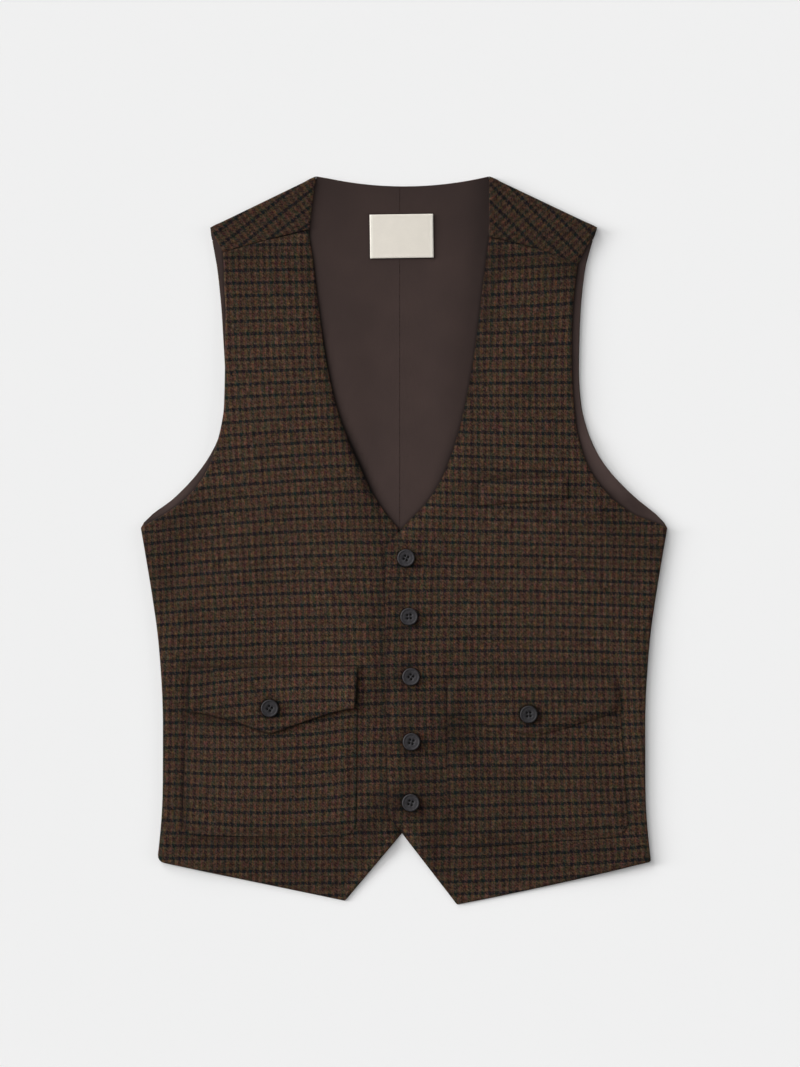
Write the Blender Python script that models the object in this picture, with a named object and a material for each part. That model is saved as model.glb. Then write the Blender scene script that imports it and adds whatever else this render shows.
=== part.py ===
"""A suit waistcoat laid flat on its back, fronts up and buttoned.

The tables and sizes are in millimetres and the meshes in metres. X runs across the garment to the
wearer's left, Y up it to the neck, and Z up from the surface that it lies on. A height is measured up
the garment from the points of its fronts. Each piece of cloth is cut to its outline in the flat, given
its wall, and laid on the level that the pieces under it leave.
"""

from collections import namedtuple
from math import ceil, cos, exp, floor, hypot, pi, radians, sin

import bmesh
import bpy
from mathutils import Vector

MM = 0.001

# Cloth and how it is stacked.
WOOL = 1.4
LINING = 1.0
CANVASSED_FRONT = 1.6
PATCH = 1.2
WELT = 1.0
LABEL = 1.0
GAP = 0.3
LINING_LEVEL = WOOL + GAP
FRONT_LEVEL = LINING_LEVEL + LINING + GAP
OVERLAP_RISE = CANVASSED_FRONT + GAP

# The whole garment.
LENGTH = 667.0
BACK_NECK_DIP = 9.2
CENTRE_BACK = -4.0
BACK_HEM_SIDE = 42.0
BACK_HEM_CENTRE = 76.0
NOTCH_HEIGHT = 65.6
NOTCH_X = -1.8

# How much of each edge the lining leaves, and how the fronts come down to what they lie on.
LINING_EDGE_INSET = 0.6
LINING_SEAM_INSET = 7.0
LINING_FOLD_INSET = 4.0
LINING_HEM_INSET = 9.0
LINING_RISE = 1.2
LINING_RISE_INSET = 8.0
LINING_RISE_END = 40.0
SEAM_ROLL = 5.0
SWELL_MARGIN = 30.0
SETTLE_START = 2.0
SETTLE_RUN = 60.0
OVERLAP_MARGIN = 4.0
OVERLAP_RUN = 44.0

# The button stand.
STAND_X = 26.0
STAND_TOP = 312.0
PLACKET_X = -17.4
PLACKET_TOP = 327.5
PLACKET_FOOT_X = -14.7
PLACKET_FOOT = 82.1

# Spacing of the points along an edge, how near the last row of a table may come to an edge's own end,
# and the size of the cells inside a panel.
EDGE_STEP = 14.0
END_CLEARANCE = 4.0
BACK_CELL = 40.0
LINING_CELL = 26.0
FRONT_CELL = 17.0

# The half widths at the armhole, down from the shoulder point: of the back, and of what lies over it.
ArmholeRow = namedtuple("ArmholeRow", "height back_right front_right front_left back_left")
ARMHOLE = (
    ArmholeRow(620, 177.5, 177.5, 177.0, 177.0),
    ArmholeRow(608, 175.6, 173.2, 172.8, 172.6),
    ArmholeRow(597, 173.6, 165.8, 166.0, 169.6),
    ArmholeRow(586, 171.6, 165.0, 159.0, 166.6),
    ArmholeRow(570, 169.6, 164.8, 157.0, 164.2),
    ArmholeRow(545, 167.2, 163.4, 154.6, 161.8),
    ArmholeRow(515, 165.4, 163.6, 153.4, 160.6),
    ArmholeRow(480, 163.6, 164.2, 154.0, 160.4),
    ArmholeRow(450, 164.6, 165.4, 156.4, 163.6),
    ArmholeRow(430, 168.9, 169.3, 159.3, 169.5),
    ArmholeRow(410, 178.6, 175.2, 165.0, 178.9),
    ArmholeRow(390, 193.3, 184.8, 175.5, 194.2),
    ArmholeRow(370, 213.4, 202.0, 193.0, 215.1),
    ArmholeRow(358, 230.0, 219.0, 209.5, 230.3),
    ArmholeRow(350, 238.2, 233.0, 230.0, 238.2),
    ArmholeRow(345, 241.0, 241.0, 241.0, 241.0),
)

# The half width down the side seam, from the underarm to the hem.
SideRow = namedtuple("SideRow", "height half_width")
SIDE_SEAM = (
    SideRow(345, 241.0),
    SideRow(316, 236.0),
    SideRow(279, 230.0),
    SideRow(242, 225.0),
    SideRow(187, 221.2),
    SideRow(142, 220.8),
    SideRow(96, 221.2),
    SideRow(68, 223.0),
    SideRow(39.5, 226.0),
)

# The neckline, from the neck point to where the fronts cross: each side's distance from the centre.
NeckRow = namedtuple("NeckRow", "height right left")
NECKLINE = (
    NeckRow(667, 80.5, 78.0),
    NeckRow(650, 84.5, 79.8),
    NeckRow(635, 87.0, 79.8),
    NeckRow(612, 86.6, 78.0),
    NeckRow(589, 82.8, 74.8),
    NeckRow(560, 79.6, 71.2),
    NeckRow(524, 75.0, 66.8),
    NeckRow(490, 69.6, 61.8),
    NeckRow(455, 61.2, 55.2),
    NeckRow(429, 52.2, 48.6),
    NeckRow(397, 38.5, 37.6),
    NeckRow(371, 25.4, 22.6),
    NeckRow(344, 4.6, -2.7),
)

# A front: its seam with the yoke, at the neck and the armhole, and the point at its hem. A bow is how
# far an edge's middle stands off the straight line between its ends.
Front = namedtuple("Front", "side seam_at_neck seam_at_armhole seam_bow point_x point_height hem_bow")
FRONT = {
    "right": Front(-1, 618.0, 597.0, 0.8, 54.0, 3.5, 0.3),
    "left": Front(1, 611.5, 586.5, 2.5, 48.5, 0.0, -1.3),
}

# Soft swells of the fronts: centre, reach along and across, lean from upright in degrees, and rise.
Swell = namedtuple("Swell", "x height along across lean rise")
SWELLS = (
    Swell(-122, 480, 100, 32, 6, 1.7),
    Swell(112, 470, 100, 30, -8, 1.6),
    Swell(-162, 300, 80, 36, 26, 1.9),
    Swell(152, 290, 80, 38, -24, 2.0),
    Swell(-66, 310, 110, 24, -10, 1.2),
    Swell(76, 280, 110, 26, 8, 1.2),
    Swell(-118, 140, 56, 62, 0, 1.2),
    Swell(122, 130, 56, 62, 0, 1.3),
    Swell(-6, 200, 120, 34, 0, 0.8),
)

# Patch pockets: distances from the centre of the two edges, top and foot, and the heights.
Pocket = namedtuple(
    "Pocket", "side top inner_top inner_foot outer_top outer_foot foot_inner foot_outer corner belly"
)
POCKET = {
    "right": Pocket(-1, 207.0, 42.3, 44.0, 197.5, 202.4, 61.9, 62.8, 15.0, 0.9),
    "left": Pocket(1, 197.0, 39.8, 39.8, 196.5, 204.5, 51.8, 62.0, 14.0, 0.9),
}

# Flaps: the two ends of the seam and of the lower edge, the tip and how the edge runs down to it.
Flap = namedtuple(
    "Flap",
    "side inner outer seam_inner seam_outer foot_inner foot_outer inner_foot outer_foot "
    "tip_x tip run_power lift_end lift",
)
FLAP = {
    "right": Flap(-1, 42.1, 196.0, 218.6, 216.7, 180.0, 176.4, 44.9, 196.9, 122.7, 155.3, 1.4, 42.1, 2.2),
    "left": Flap(1, 39.8, 195.1, 207.6, 206.6, 173.0, 178.3, 39.8, 199.7, 118.2, 153.5, 1.0, 195.1, 1.4),
}
FLAP_SEAM_RUN = 8.0

# Chest welt: its four corners, on the left front.
Corner = namedtuple("Corner", "x height")
CHEST_WELT = (
    Corner(68.7, 365.1),
    Corner(150.2, 371.5),
    Corner(150.2, 392.6),
    Corner(67.8, 387.6),
)

# The label on the lining.
LABEL_X = -2.2
LABEL_HEIGHT = 612.0
LABEL_WIDTH = 58.0
LABEL_DEPTH = 40.0
LABEL_TURN = 0.8

# Buttons: a turned disc with a raised rim and four holes.
BUTTON_RADIUS = 8.0
BUTTON_SIDES = 18
ButtonRing = namedtuple("ButtonRing", "radius height")
BUTTON_PROFILE = (
    ButtonRing(6.2, 0.0),
    ButtonRing(BUTTON_RADIUS, 1.1),
    ButtonRing(7.7, 2.5),
    ButtonRing(6.6, 3.0),
    ButtonRing(5.4, 2.2),
)
HOLE_RADIUS = 0.9
HOLE_SIDES = 6
HOLE_SPREAD = 1.75
Button = namedtuple("Button", "name x height turn seat")
BUTTONS = (
    Button("button_1", 1.8, 317.5, 20, "front"),
    Button("button_2", 4.6, 263.9, 48, "front"),
    Button("button_3", 6.4, 208.9, 8, "front"),
    Button("button_4", 6.8, 149.5, 30, "front"),
    Button("button_5", 6.1, 93.7, 28, "front"),
    Button("button_flap_right", -122.7, 180.1, 12, "flap"),
    Button("button_flap_left", 114.0, 174.6, 50, "flap"),
)

# The yoke's strip behind the shoulder fold, and the sections along and around it.
YOKE_STRIP = 12.0
YOKE_STATIONS = 8
YOKE_LENGTH_SECTIONS = 4
FOLD_SECTIONS = 6

# Colours, roughness and sheen of the finishes.
Finish = namedtuple("Finish", "name colour roughness")
CHECKED_WOOL = Finish("checked wool", (0.045, 0.027, 0.018), 0.95)
LINING_CLOTH = Finish("lining", (0.052, 0.036, 0.033), 0.6)
LABEL_CLOTH = Finish("label", (0.74, 0.68, 0.60), 0.8)
HORN = Finish("button", (0.022, 0.022, 0.026), 0.4)


def smoothstep(share):
    """Ease from 0 to 1 as a share runs from 0 to 1."""
    share = min(1.0, max(0.0, share))
    return share * share * (3.0 - 2.0 * share)


def between(rows, height, column):
    """Read a column of a table at a height, on straight lines between its rows."""
    if height >= rows[0].height:
        return getattr(rows[0], column)
    for upper, lower in zip(rows, rows[1:]):
        if height >= lower.height:
            share = (upper.height - height) / (upper.height - lower.height)
            high = getattr(upper, column)
            return high + (getattr(lower, column) - high) * share
    return getattr(rows[-1], column)


def smooth(points, step=EDGE_STEP):
    """Points about a step apart on a smooth curve through the given ones, both ends included."""
    points = [Vector(point) for point in points]
    last = len(points) - 1
    slopes = []
    for index, point in enumerate(points):
        before = points[max(index - 1, 0)]
        after = points[min(index + 1, last)]
        reach = (point - before).length + (after - point).length
        slopes.append((after - before) / reach)
    path = [points[0]]
    for index in range(last):
        start = points[index]
        end = points[index + 1]
        span = (end - start).length
        pieces = max(1, round(span / step))
        for piece in range(1, pieces + 1):
            t = piece / pieces
            path.append(
                start * (2 * t**3 - 3 * t**2 + 1)
                + slopes[index] * span * (t**3 - 2 * t**2 + t)
                + end * (3 * t**2 - 2 * t**3)
                + slopes[index + 1] * span * (t**3 - t**2)
            )
    return path


def bowed(start, end, bow, step=EDGE_STEP):
    """Points on a shallow arc between two points, its middle standing off by the bow, upwards."""
    start = Vector(start)
    end = Vector(end)
    pieces = max(1, round((end - start).length / step))
    path = []
    for piece in range(pieces + 1):
        share = piece / pieces
        off = Vector((0.0, 4.0 * bow * share * (1.0 - share)))
        path.append(start.lerp(end, share) + off)
    return path


def arched(start_x, end_x, height_at, pieces=8):
    """Points across the garment at the heights that a function gives."""
    path = []
    for piece in range(pieces + 1):
        x = start_x + (end_x - start_x) * piece / pieces
        path.append(Vector((x, height_at(x))))
    return path


def chain(*edges):
    """Join edges end to end into one closed outline, without the points that they share."""
    outline = []
    for edge in edges:
        for point in edge:
            point = Vector(point)
            if not outline or (point - outline[-1]).length > 1.0:
                outline.append(point)
    if (outline[0] - outline[-1]).length <= 1.0:
        outline.pop()
    return outline


def distance_to(path, x, height):
    """How far a point lies from a path."""
    point = Vector((x, height))
    nearest = 1e9
    for start, end in zip(path, path[1:]):
        along = end - start
        share = min(1.0, max(0.0, (point - start).dot(along) / along.length_squared))
        nearest = min(nearest, (point - start - along * share).length)
    return nearest


# Edges that the pieces share. A side is -1 for the wearer's right and 1 for the left.


def side_edge(side, inset=0.0, foot=SIDE_SEAM[-1].height):
    """The side seam from the underarm down to a foot."""
    rows = [row for row in SIDE_SEAM if row.height > foot + END_CLEARANCE]
    points = [(side * (row.half_width - inset), row.height) for row in rows]
    points.append((side * (between(SIDE_SEAM, foot, "half_width") - inset), foot))
    return smooth(points)


def armhole_edge(side, layer, top, inset=0.0):
    """An armhole edge from a top height down to the underarm, for the back or what lies over it."""
    column = f"{layer}_{'right' if side < 0 else 'left'}"
    points = [(side * (between(ARMHOLE, top, column) - inset), top)]
    for row in ARMHOLE:
        if row.height < top - END_CLEARANCE:
            points.append((side * (getattr(row, column) - inset), row.height))
    return smooth(points)


def neck_column(side):
    """The neckline's column for a side."""
    return "right" if side < 0 else "left"


def neck_x(side, height):
    """Where the neckline runs at a height."""
    return side * between(NECKLINE, height, neck_column(side))


def neck_edge(side, top, ending):
    """A front's neckline from the yoke seam down, and on to its ending."""
    points = [(neck_x(side, top), top)]
    for row in NECKLINE:
        if row.height < top - END_CLEARANCE:
            points.append((side * getattr(row, neck_column(side)), row.height))
    return smooth([*points, ending])


def yoke_seam(front):
    """The seam between a front and its yoke, from the neck to the armhole."""
    column = "front_right" if front.side < 0 else "front_left"
    armhole_x = front.side * between(ARMHOLE, front.seam_at_armhole, column)
    start = (neck_x(front.side, front.seam_at_neck), front.seam_at_neck)
    return bowed(start, (armhole_x, front.seam_at_armhole), front.seam_bow)


def back_hem(x):
    """The height of the back's hem, which arches up to its middle."""
    share = x / SIDE_SEAM[-1].half_width
    return BACK_HEM_CENTRE - (BACK_HEM_CENTRE - BACK_HEM_SIDE) * share * share


def back_neck(x):
    """The height of the back neck edge, which dips to its middle."""
    share = min(1.0, abs(x) / NECKLINE[0].left)
    return LENGTH - BACK_NECK_DIP * (1.0 - share * share)


SIDE_SEAMS = {side: side_edge(side) for side in (-1, 1)}


# Levels: how high above the surface the underside of each piece lies.


def settled(x, height):
    """How far, from 0 to 1, a front has come down to the surface below the back's hem."""
    return smoothstep((back_hem(x) - SETTLE_START - height) / SETTLE_RUN)


def swell(x, height):
    """The rise of the fronts' soft swells at a point."""
    total = 0.0
    for row in SWELLS:
        lean = radians(row.lean)
        along = ((height - row.height) * cos(lean) + (x - row.x) * sin(lean)) / row.along
        across = ((x - row.x) * cos(lean) - (height - row.height) * sin(lean)) / row.across
        total += row.rise * exp(-along * along - across * across)
    return total


def stand_edge_x(height):
    """Where the right front's inner edge runs at a height, under the left front."""
    front = FRONT["right"]
    cut_slope = (NOTCH_X + front.point_x) / (NOTCH_HEIGHT - front.point_height)
    cut_x = NOTCH_X + (height - NOTCH_HEIGHT) * cut_slope
    crossing = NECKLINE[-1]
    if height <= STAND_TOP:
        return min(STAND_X, cut_x)
    if height <= crossing.height:
        share = (height - STAND_TOP) / (crossing.height - STAND_TOP)
        return STAND_X + (-crossing.right - STAND_X) * share
    return neck_x(-1, height)


def front_level(side, x, height):
    """The underside of a front."""
    from_seam = distance_to(SIDE_SEAMS[1 if x > 0 else -1], x, height)
    rise = swell(x, height) * smoothstep(from_seam / SWELL_MARGIN)
    roll = (FRONT_LEVEL - LINING_LEVEL) * (1.0 - smoothstep(from_seam / SEAM_ROLL))
    level = (FRONT_LEVEL + rise - roll) * (1.0 - settled(x, height))
    if side > 0:
        past = (x - stand_edge_x(height) - OVERLAP_MARGIN) / OVERLAP_RUN
        level += OVERLAP_RISE * (1.0 - smoothstep(past))
    return level


def lining_level(x, height):
    """The underside of the back lining, which domes a little inside the neckline."""
    side = 1 if x > 0 else -1
    half_width = abs(neck_x(side, height)) - LINING_RISE_INSET
    if height < NECKLINE[-1].height or half_width <= abs(x):
        return LINING_LEVEL
    across = 1.0 - (x / half_width) ** 2
    end = smoothstep((LENGTH - height) / LINING_RISE_END)
    return LINING_LEVEL + LINING_RISE * across * across * end


def pocket_belly(pocket, x, height):
    """How far a patch pocket stands off its front, from nothing at its edges."""
    middle = pocket.side * (pocket.inner_top + pocket.outer_top) / 2.0
    half = (pocket.outer_top - pocket.inner_top) / 2.0
    foot = max(pocket.foot_inner, pocket.foot_outer)
    across = 1.0 - min(1.0, abs(x - middle) / half) ** 2
    up = 1.0 - min(1.0, abs(2.0 * height - pocket.top - foot) / (pocket.top - foot)) ** 2
    return pocket.belly * across * up


def pocket_level(pocket, x, height):
    """The underside of a patch pocket."""
    top = front_level(pocket.side, x, height) + CANVASSED_FRONT
    return top + GAP + pocket_belly(pocket, x, height)


def flap_seam_height(flap, x):
    """The height of a flap's seam."""
    share = (abs(x) - flap.inner) / (flap.outer - flap.inner)
    return flap.seam_inner + (flap.seam_outer - flap.seam_inner) * share


def flap_level(name, x, height):
    """The underside of a flap: on the front at its seam, on the pocket below, and lifted at one end."""
    flap = FLAP[name]
    pocket = POCKET[name]
    down = flap_seam_height(flap, x) - height
    over = (PATCH + GAP) * smoothstep(down / FLAP_SEAM_RUN)
    free = smoothstep(down / (flap.seam_inner - flap.tip))
    toward = 1.0 - abs(abs(x) - flap.lift_end) / (flap.outer - flap.inner)
    lift = flap.lift * free * max(0.0, toward) ** 3
    return pocket_level(pocket, x, height) + over + lift


# Making a piece.


def material_for(finish):
    """The finish's material, made once."""
    material = bpy.data.materials.get(finish.name)
    if material is None:
        material = bpy.data.materials.new(finish.name)
        material.use_nodes = True
        shader = material.node_tree.nodes["Principled BSDF"]
        shader.inputs["Base Color"].default_value = (*finish.colour, 1.0)
        shader.inputs["Roughness"].default_value = finish.roughness
        shader.inputs["Metallic"].default_value = 0.0
    return material


def finish_piece(bm, name, finish):
    """Turn a mesh drawn in millimetres and heights into a named object in metres."""
    bmesh.ops.recalc_face_normals(bm, faces=bm.faces[:])
    for vert in bm.verts:
        vert.co.y -= LENGTH / 2.0
        vert.co *= MM
    mesh = bpy.data.meshes.new(name)
    bm.to_mesh(mesh)
    bm.free()
    mesh.materials.append(material_for(finish))
    mesh.shade_smooth()
    mesh.set_sharp_from_angle(angle=radians(40.0))
    bpy.context.collection.objects.link(bpy.data.objects.new(name, mesh))


def cut_cells(bm, cell):
    """Cut the marked inner faces along the whole garment's lines a cell apart, both ways."""
    for axis in (0, 1):
        first = floor(min(vert.co[axis] for vert in bm.verts) / cell) + 1
        last = ceil(max(vert.co[axis] for vert in bm.verts) / cell) - 1
        normal = Vector((1.0, 0.0, 0.0)) if axis == 0 else Vector((0.0, 1.0, 0.0))
        for line in range(first, last + 1):
            faces = [face for face in bm.faces if face.material_index == 1]
            edges = {edge for face in faces for edge in face.edges}
            verts = {vert for face in faces for vert in face.verts}
            bmesh.ops.bisect_plane(
                bm,
                geom=faces + list(edges) + list(verts),
                dist=cell / 10.0,
                plane_co=normal * (line * cell),
                plane_no=normal,
            )


def panel(name, outline, level, wall, finish, cell, rims=()):
    """A piece of cloth: its outline, rims inside the edge, cells inside those, then its wall."""
    bm = bmesh.new()
    face = bm.faces.new([bm.verts.new((point.x, point.y, 0.0)) for point in outline])
    for width in rims:
        bm.normal_update()
        bmesh.ops.inset_region(
            bm, faces=[face], thickness=width, use_even_offset=True, use_boundary=True
        )
    face.material_index = 1
    cut_cells(bm, cell)
    for inner in bm.faces:
        inner.material_index = 0
    bmesh.ops.triangulate(bm, faces=bm.faces[:])
    grown = bmesh.ops.extrude_face_region(bm, geom=bm.faces[:])["geom"]
    upper = {item for item in grown if isinstance(item, bmesh.types.BMVert)}
    for vert in bm.verts:
        vert.co.z = level(vert.co.x, vert.co.y)
        if vert in upper:
            vert.co.z += wall
    finish_piece(bm, name, finish)


# The pieces.


def strip_corner(side, share):
    """The inner corner of the yoke's strip behind the shoulder, at its neck or its armhole end."""
    fold, strip_way, _ = yoke_station(side, share)
    return fold + strip_way * (YOKE_STRIP + GAP)


def build_back():
    """The checked back, in one piece, flat on the surface with its outside down."""
    halves = []
    for side in (-1, 1):
        neck_end = abs(neck_x(side, LENGTH)) - GAP
        neck = arched(0.0, side * neck_end, back_neck)
        shoulder_start = strip_corner(side, 0.0) + Vector((-side * GAP, -GAP))
        shoulder_end = strip_corner(side, 1.0) + Vector((0.0, -GAP))
        armhole = armhole_edge(side, "back", shoulder_end.y)
        seam = side_edge(side, foot=BACK_HEM_SIDE)
        hem = arched(seam[-1].x, 0.0, back_hem)
        halves.append(chain(neck, (shoulder_start, shoulder_end), armhole, seam, hem))
    outline = chain(halves[0], halves[1][::-1])
    panel("back", outline, lambda x, height: 0.0, WOOL, CHECKED_WOOL, BACK_CELL)


def lining_outline(side):
    """Half of the lining: neck, shoulder fold, armhole, side seam, hem and centre-back seam."""
    seam_x = CENTRE_BACK + side * GAP / 2.0
    fold_start, _, _ = yoke_station(side, 0.0)
    fold_end, _, _ = yoke_station(side, 1.0)
    along = (fold_end - fold_start).normalized()
    inward = Vector((side * along.y, -side * along.x)) * LINING_FOLD_INSET
    neck_end = fold_start.x - side * LINING_EDGE_INSET
    neck = arched(seam_x, neck_end, lambda x: back_neck(x) - LINING_EDGE_INSET)
    shoulder = (Vector((neck_end, (fold_start + inward).y)), fold_end + inward)
    armhole = armhole_edge(side, "back", shoulder[1].y - LINING_FOLD_INSET, LINING_EDGE_INSET)
    seam_foot = back_hem(SIDE_SEAM[-1].half_width - LINING_SEAM_INSET) + LINING_HEM_INSET
    seam = side_edge(side, LINING_SEAM_INSET, seam_foot)
    seam = [point for point in seam if point.y < armhole[-1].y - LINING_SEAM_INSET]
    armhole = [point for point in armhole if abs(point.x) < abs(seam[0].x) + 1.0]
    hem = arched(seam[-1].x, seam_x, lambda x: back_hem(x) + LINING_HEM_INSET)
    return chain(neck, shoulder, armhole, seam, hem)


def build_lining():
    """The back lining in two halves that meet at the centre-back seam."""
    for side, name in ((-1, "lining_right"), (1, "lining_left")):
        panel(name, lining_outline(side), lining_level, LINING, LINING_CLOTH, LINING_CELL)


def stand_edge(front):
    """A front's edge at the buttons, from the end of its neckline down to its cutaway."""
    if front.side < 0:
        cut_slope = (NOTCH_HEIGHT - front.point_height) / (NOTCH_X + front.point_x)
        foot = front.point_height + (STAND_X + front.point_x) * cut_slope
        return bowed((STAND_X, STAND_TOP), (STAND_X, foot), 0.0)
    middle = (PLACKET_X, (PLACKET_TOP + PLACKET_FOOT) / 2.0)
    return smooth([(PLACKET_X, PLACKET_TOP), middle, (PLACKET_FOOT_X, PLACKET_FOOT)])


def front_outline(front):
    """A front's outline: neckline, button stand, cutaway, hem, side seam, armhole and yoke seam."""
    point = Vector((front.side * front.point_x, front.point_height))
    stand = stand_edge(front)
    neck = neck_edge(front.side, front.seam_at_neck, stand[0])
    cutaway = bowed(stand[-1], point, 0.0)
    seam = side_edge(front.side)
    hem = bowed(point, seam[-1], front.hem_bow)
    armhole = armhole_edge(front.side, "front", front.seam_at_armhole)
    return chain(neck, stand, cutaway, hem, seam[::-1], armhole[::-1], yoke_seam(front)[::-1])


def build_fronts():
    """The two fronts, the left one over the right at the button stand."""
    for name, front in FRONT.items():
        panel(
            f"front_{name}",
            front_outline(front),
            lambda x, height, side=front.side: front_level(side, x, height),
            CANVASSED_FRONT,
            CHECKED_WOOL,
            cell=FRONT_CELL,
            rims=(SEAM_ROLL,),
        )


def yoke_station(side, share):
    """A point on the shoulder fold, and the ways across the yoke behind it and in front of it."""
    front = FRONT[neck_column(side)]
    shoulder = ARMHOLE[0]
    neck_point = Vector((side * getattr(NECKLINE[0], neck_column(side)), LENGTH))
    shoulder_x = shoulder.back_right if side < 0 else shoulder.back_left
    shoulder_point = Vector((side * shoulder_x, shoulder.height))
    fold = neck_point.lerp(shoulder_point, share)
    seam = yoke_seam(front)
    place = share * (len(seam) - 1)
    low = min(int(place), len(seam) - 2)
    landing = seam[low].lerp(seam[low + 1], place - low)
    landing += Vector((0.0, GAP))
    forward = landing - fold
    below = ARMHOLE[1]
    arm_way = Vector((side * (below.back_right if side < 0 else below.back_left), below.height))
    arm_way = (arm_way - shoulder_point).normalized()
    neck_way = (Vector((neck_x(side, NECKLINE[1].height), NECKLINE[1].height)) - neck_point).normalized()
    strip_way = neck_way.lerp(arm_way, share).normalized()
    return fold, strip_way, forward


def yoke_ring(side, share):
    """A closed section of the yoke: its strip behind, the fold, and its length to the front's seam."""
    fold, strip_way, forward = yoke_station(side, share)
    outer_radius = (FRONT_LEVEL + WOOL) / 2.0
    inner_radius = outer_radius - WOOL
    reach = forward.length
    front_way = forward / reach
    ring = []
    for radius, backwards in ((outer_radius, False), (inner_radius, True)):
        stretch = [(strip_way, YOKE_STRIP, outer_radius - radius)]
        for index in range(FOLD_SECTIONS + 1):
            angle = pi * index / FOLD_SECTIONS
            way = strip_way.lerp(front_way, index / FOLD_SECTIONS)
            stretch.append((way, outer_radius - radius * sin(angle), outer_radius - radius * cos(angle)))
        for index in range(1, YOKE_LENGTH_SECTIONS + 1):
            along = outer_radius + (reach - outer_radius) * index / YOKE_LENGTH_SECTIONS
            stretch.append((front_way, along, outer_radius + radius))
        for way, along, level in reversed(stretch) if backwards else stretch:
            place = fold + way * along
            if level > outer_radius:
                level += swell(place.x, place.y) * smoothstep(along / reach)
            ring.append(Vector((place.x, place.y, level)))
    return ring


def build_yokes():
    """The two shoulder yokes, each folded over the shoulder between the back and its front."""
    for side, name in ((-1, "yoke_right"), (1, "yoke_left")):
        bm = bmesh.new()
        rings = []
        for station in range(YOKE_STATIONS + 1):
            ring = yoke_ring(side, station / YOKE_STATIONS)
            rings.append([bm.verts.new(point) for point in ring])
        count = len(rings[0])
        for here, there in zip(rings, rings[1:]):
            for index in range(count):
                after = (index + 1) % count
                bm.faces.new((here[index], here[after], there[after], there[index]))
        for ring in (rings[0], rings[-1]):
            for index in range(count // 2 - 1):
                opposite = count - 1 - index
                bm.faces.new((ring[index], ring[index + 1], ring[opposite - 1], ring[opposite]))
        bmesh.ops.triangulate(bm, faces=bm.faces[:])
        finish_piece(bm, name, CHECKED_WOOL)


def pocket_outline(pocket):
    """A patch pocket's outline, with rounded lower corners."""
    side = pocket.side
    round_off = pocket.corner
    outline = [Vector((side * pocket.inner_top, pocket.top)), Vector((side * pocket.outer_top, pocket.top))]
    corners = (
        (pocket.outer_foot, pocket.foot_outer, 1.0),
        (pocket.inner_foot, pocket.foot_inner, -1.0),
    )
    for across, foot, outward in corners:
        arc = []
        for index in range(5):
            angle = pi / 2.0 * index / 4.0
            x = across - outward * round_off * (1.0 - cos(angle))
            arc.append(Vector((side * x, foot + round_off * (1.0 - sin(angle)))))
        outline += arc if outward > 0 else arc[::-1]
    return outline


def build_pockets():
    """The two patch pockets, on the fronts."""
    for name, pocket in POCKET.items():
        panel(
            f"pocket_{name}",
            pocket_outline(pocket),
            lambda x, height, row=pocket: pocket_level(row, x, height),
            PATCH,
            CHECKED_WOOL,
            cell=FRONT_CELL,
        )


def flap_outline(flap):
    """A flap's outline: a straight seam, slanted ends and a lower edge that runs down to a blunt tip."""
    side = flap.side
    inner_seam = (side * flap.inner, flap.seam_inner)
    outer_seam = (side * flap.outer, flap.seam_outer)
    inner_end = bowed((side * flap.inner_foot, flap.foot_inner), inner_seam, 0.0, FLAP_SEAM_RUN)
    outer_end = bowed(outer_seam, (side * flap.outer_foot, flap.foot_outer), 0.0, FLAP_SEAM_RUN)
    lower = []
    pieces = 18
    for index in range(pieces + 1):
        share = index / pieces
        x = flap.outer_foot + (flap.inner_foot - flap.outer_foot) * share
        foot = flap.foot_outer + (flap.foot_inner - flap.foot_outer) * share
        end = flap.outer_foot if x > flap.tip_x else flap.inner_foot
        away = hypot((x - flap.tip_x) / (end - flap.tip_x), 0.06)
        drop = max(0.0, 1.0 - away) ** flap.run_power
        lower.append(Vector((side * x, foot - (foot - flap.tip) * drop)))
    return chain(bowed(inner_seam, outer_seam, 0.0), outer_end, lower, inner_end)


def build_flaps():
    """The two pocket flaps, each over its pocket."""
    for name, flap in FLAP.items():
        panel(
            f"flap_{name}",
            flap_outline(flap),
            lambda x, height, row=name: flap_level(row, x, height),
            WOOL,
            CHECKED_WOOL,
            cell=FRONT_CELL,
            rims=(FLAP_SEAM_RUN / 2.0, FLAP_SEAM_RUN / 2.0),
        )


def build_welt():
    """The chest pocket's welt, on the left front."""
    outline = [Vector((corner.x, corner.height)) for corner in CHEST_WELT]
    panel(
        "chest_welt",
        outline,
        lambda x, height: front_level(1, x, height) + CANVASSED_FRONT + GAP,
        WELT,
        CHECKED_WOOL,
        cell=FRONT_CELL,
    )


def build_label():
    """The blank label on the lining, under the back neck."""
    turn = radians(LABEL_TURN)
    outline = []
    for across, up in ((-1, -1), (1, -1), (1, 1), (-1, 1)):
        x = across * LABEL_WIDTH / 2.0
        height = up * LABEL_DEPTH / 2.0
        place = Vector((x * cos(turn) - height * sin(turn), x * sin(turn) + height * cos(turn)))
        outline.append(place + Vector((LABEL_X, LABEL_HEIGHT)))
    panel(
        "label",
        outline,
        lambda x, height: lining_level(x, height) + LINING + GAP,
        LABEL,
        LABEL_CLOTH,
        cell=FRONT_CELL,
    )


def circle(bm, x, y, level, radius, sides, turn=0.0):
    """A ring of points in a level plane."""
    ring = []
    for index in range(sides):
        angle = turn + 2.0 * pi * index / sides
        ring.append(bm.verts.new((x + radius * cos(angle), y + radius * sin(angle), level)))
    return ring


def join_rings(bm, lower, upper):
    """Bridge two rings of points that stand over each other."""
    count = len(lower)
    for index in range(count):
        after = (index + 1) % count
        bm.faces.new((lower[index], lower[after], upper[after], upper[index]))


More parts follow.
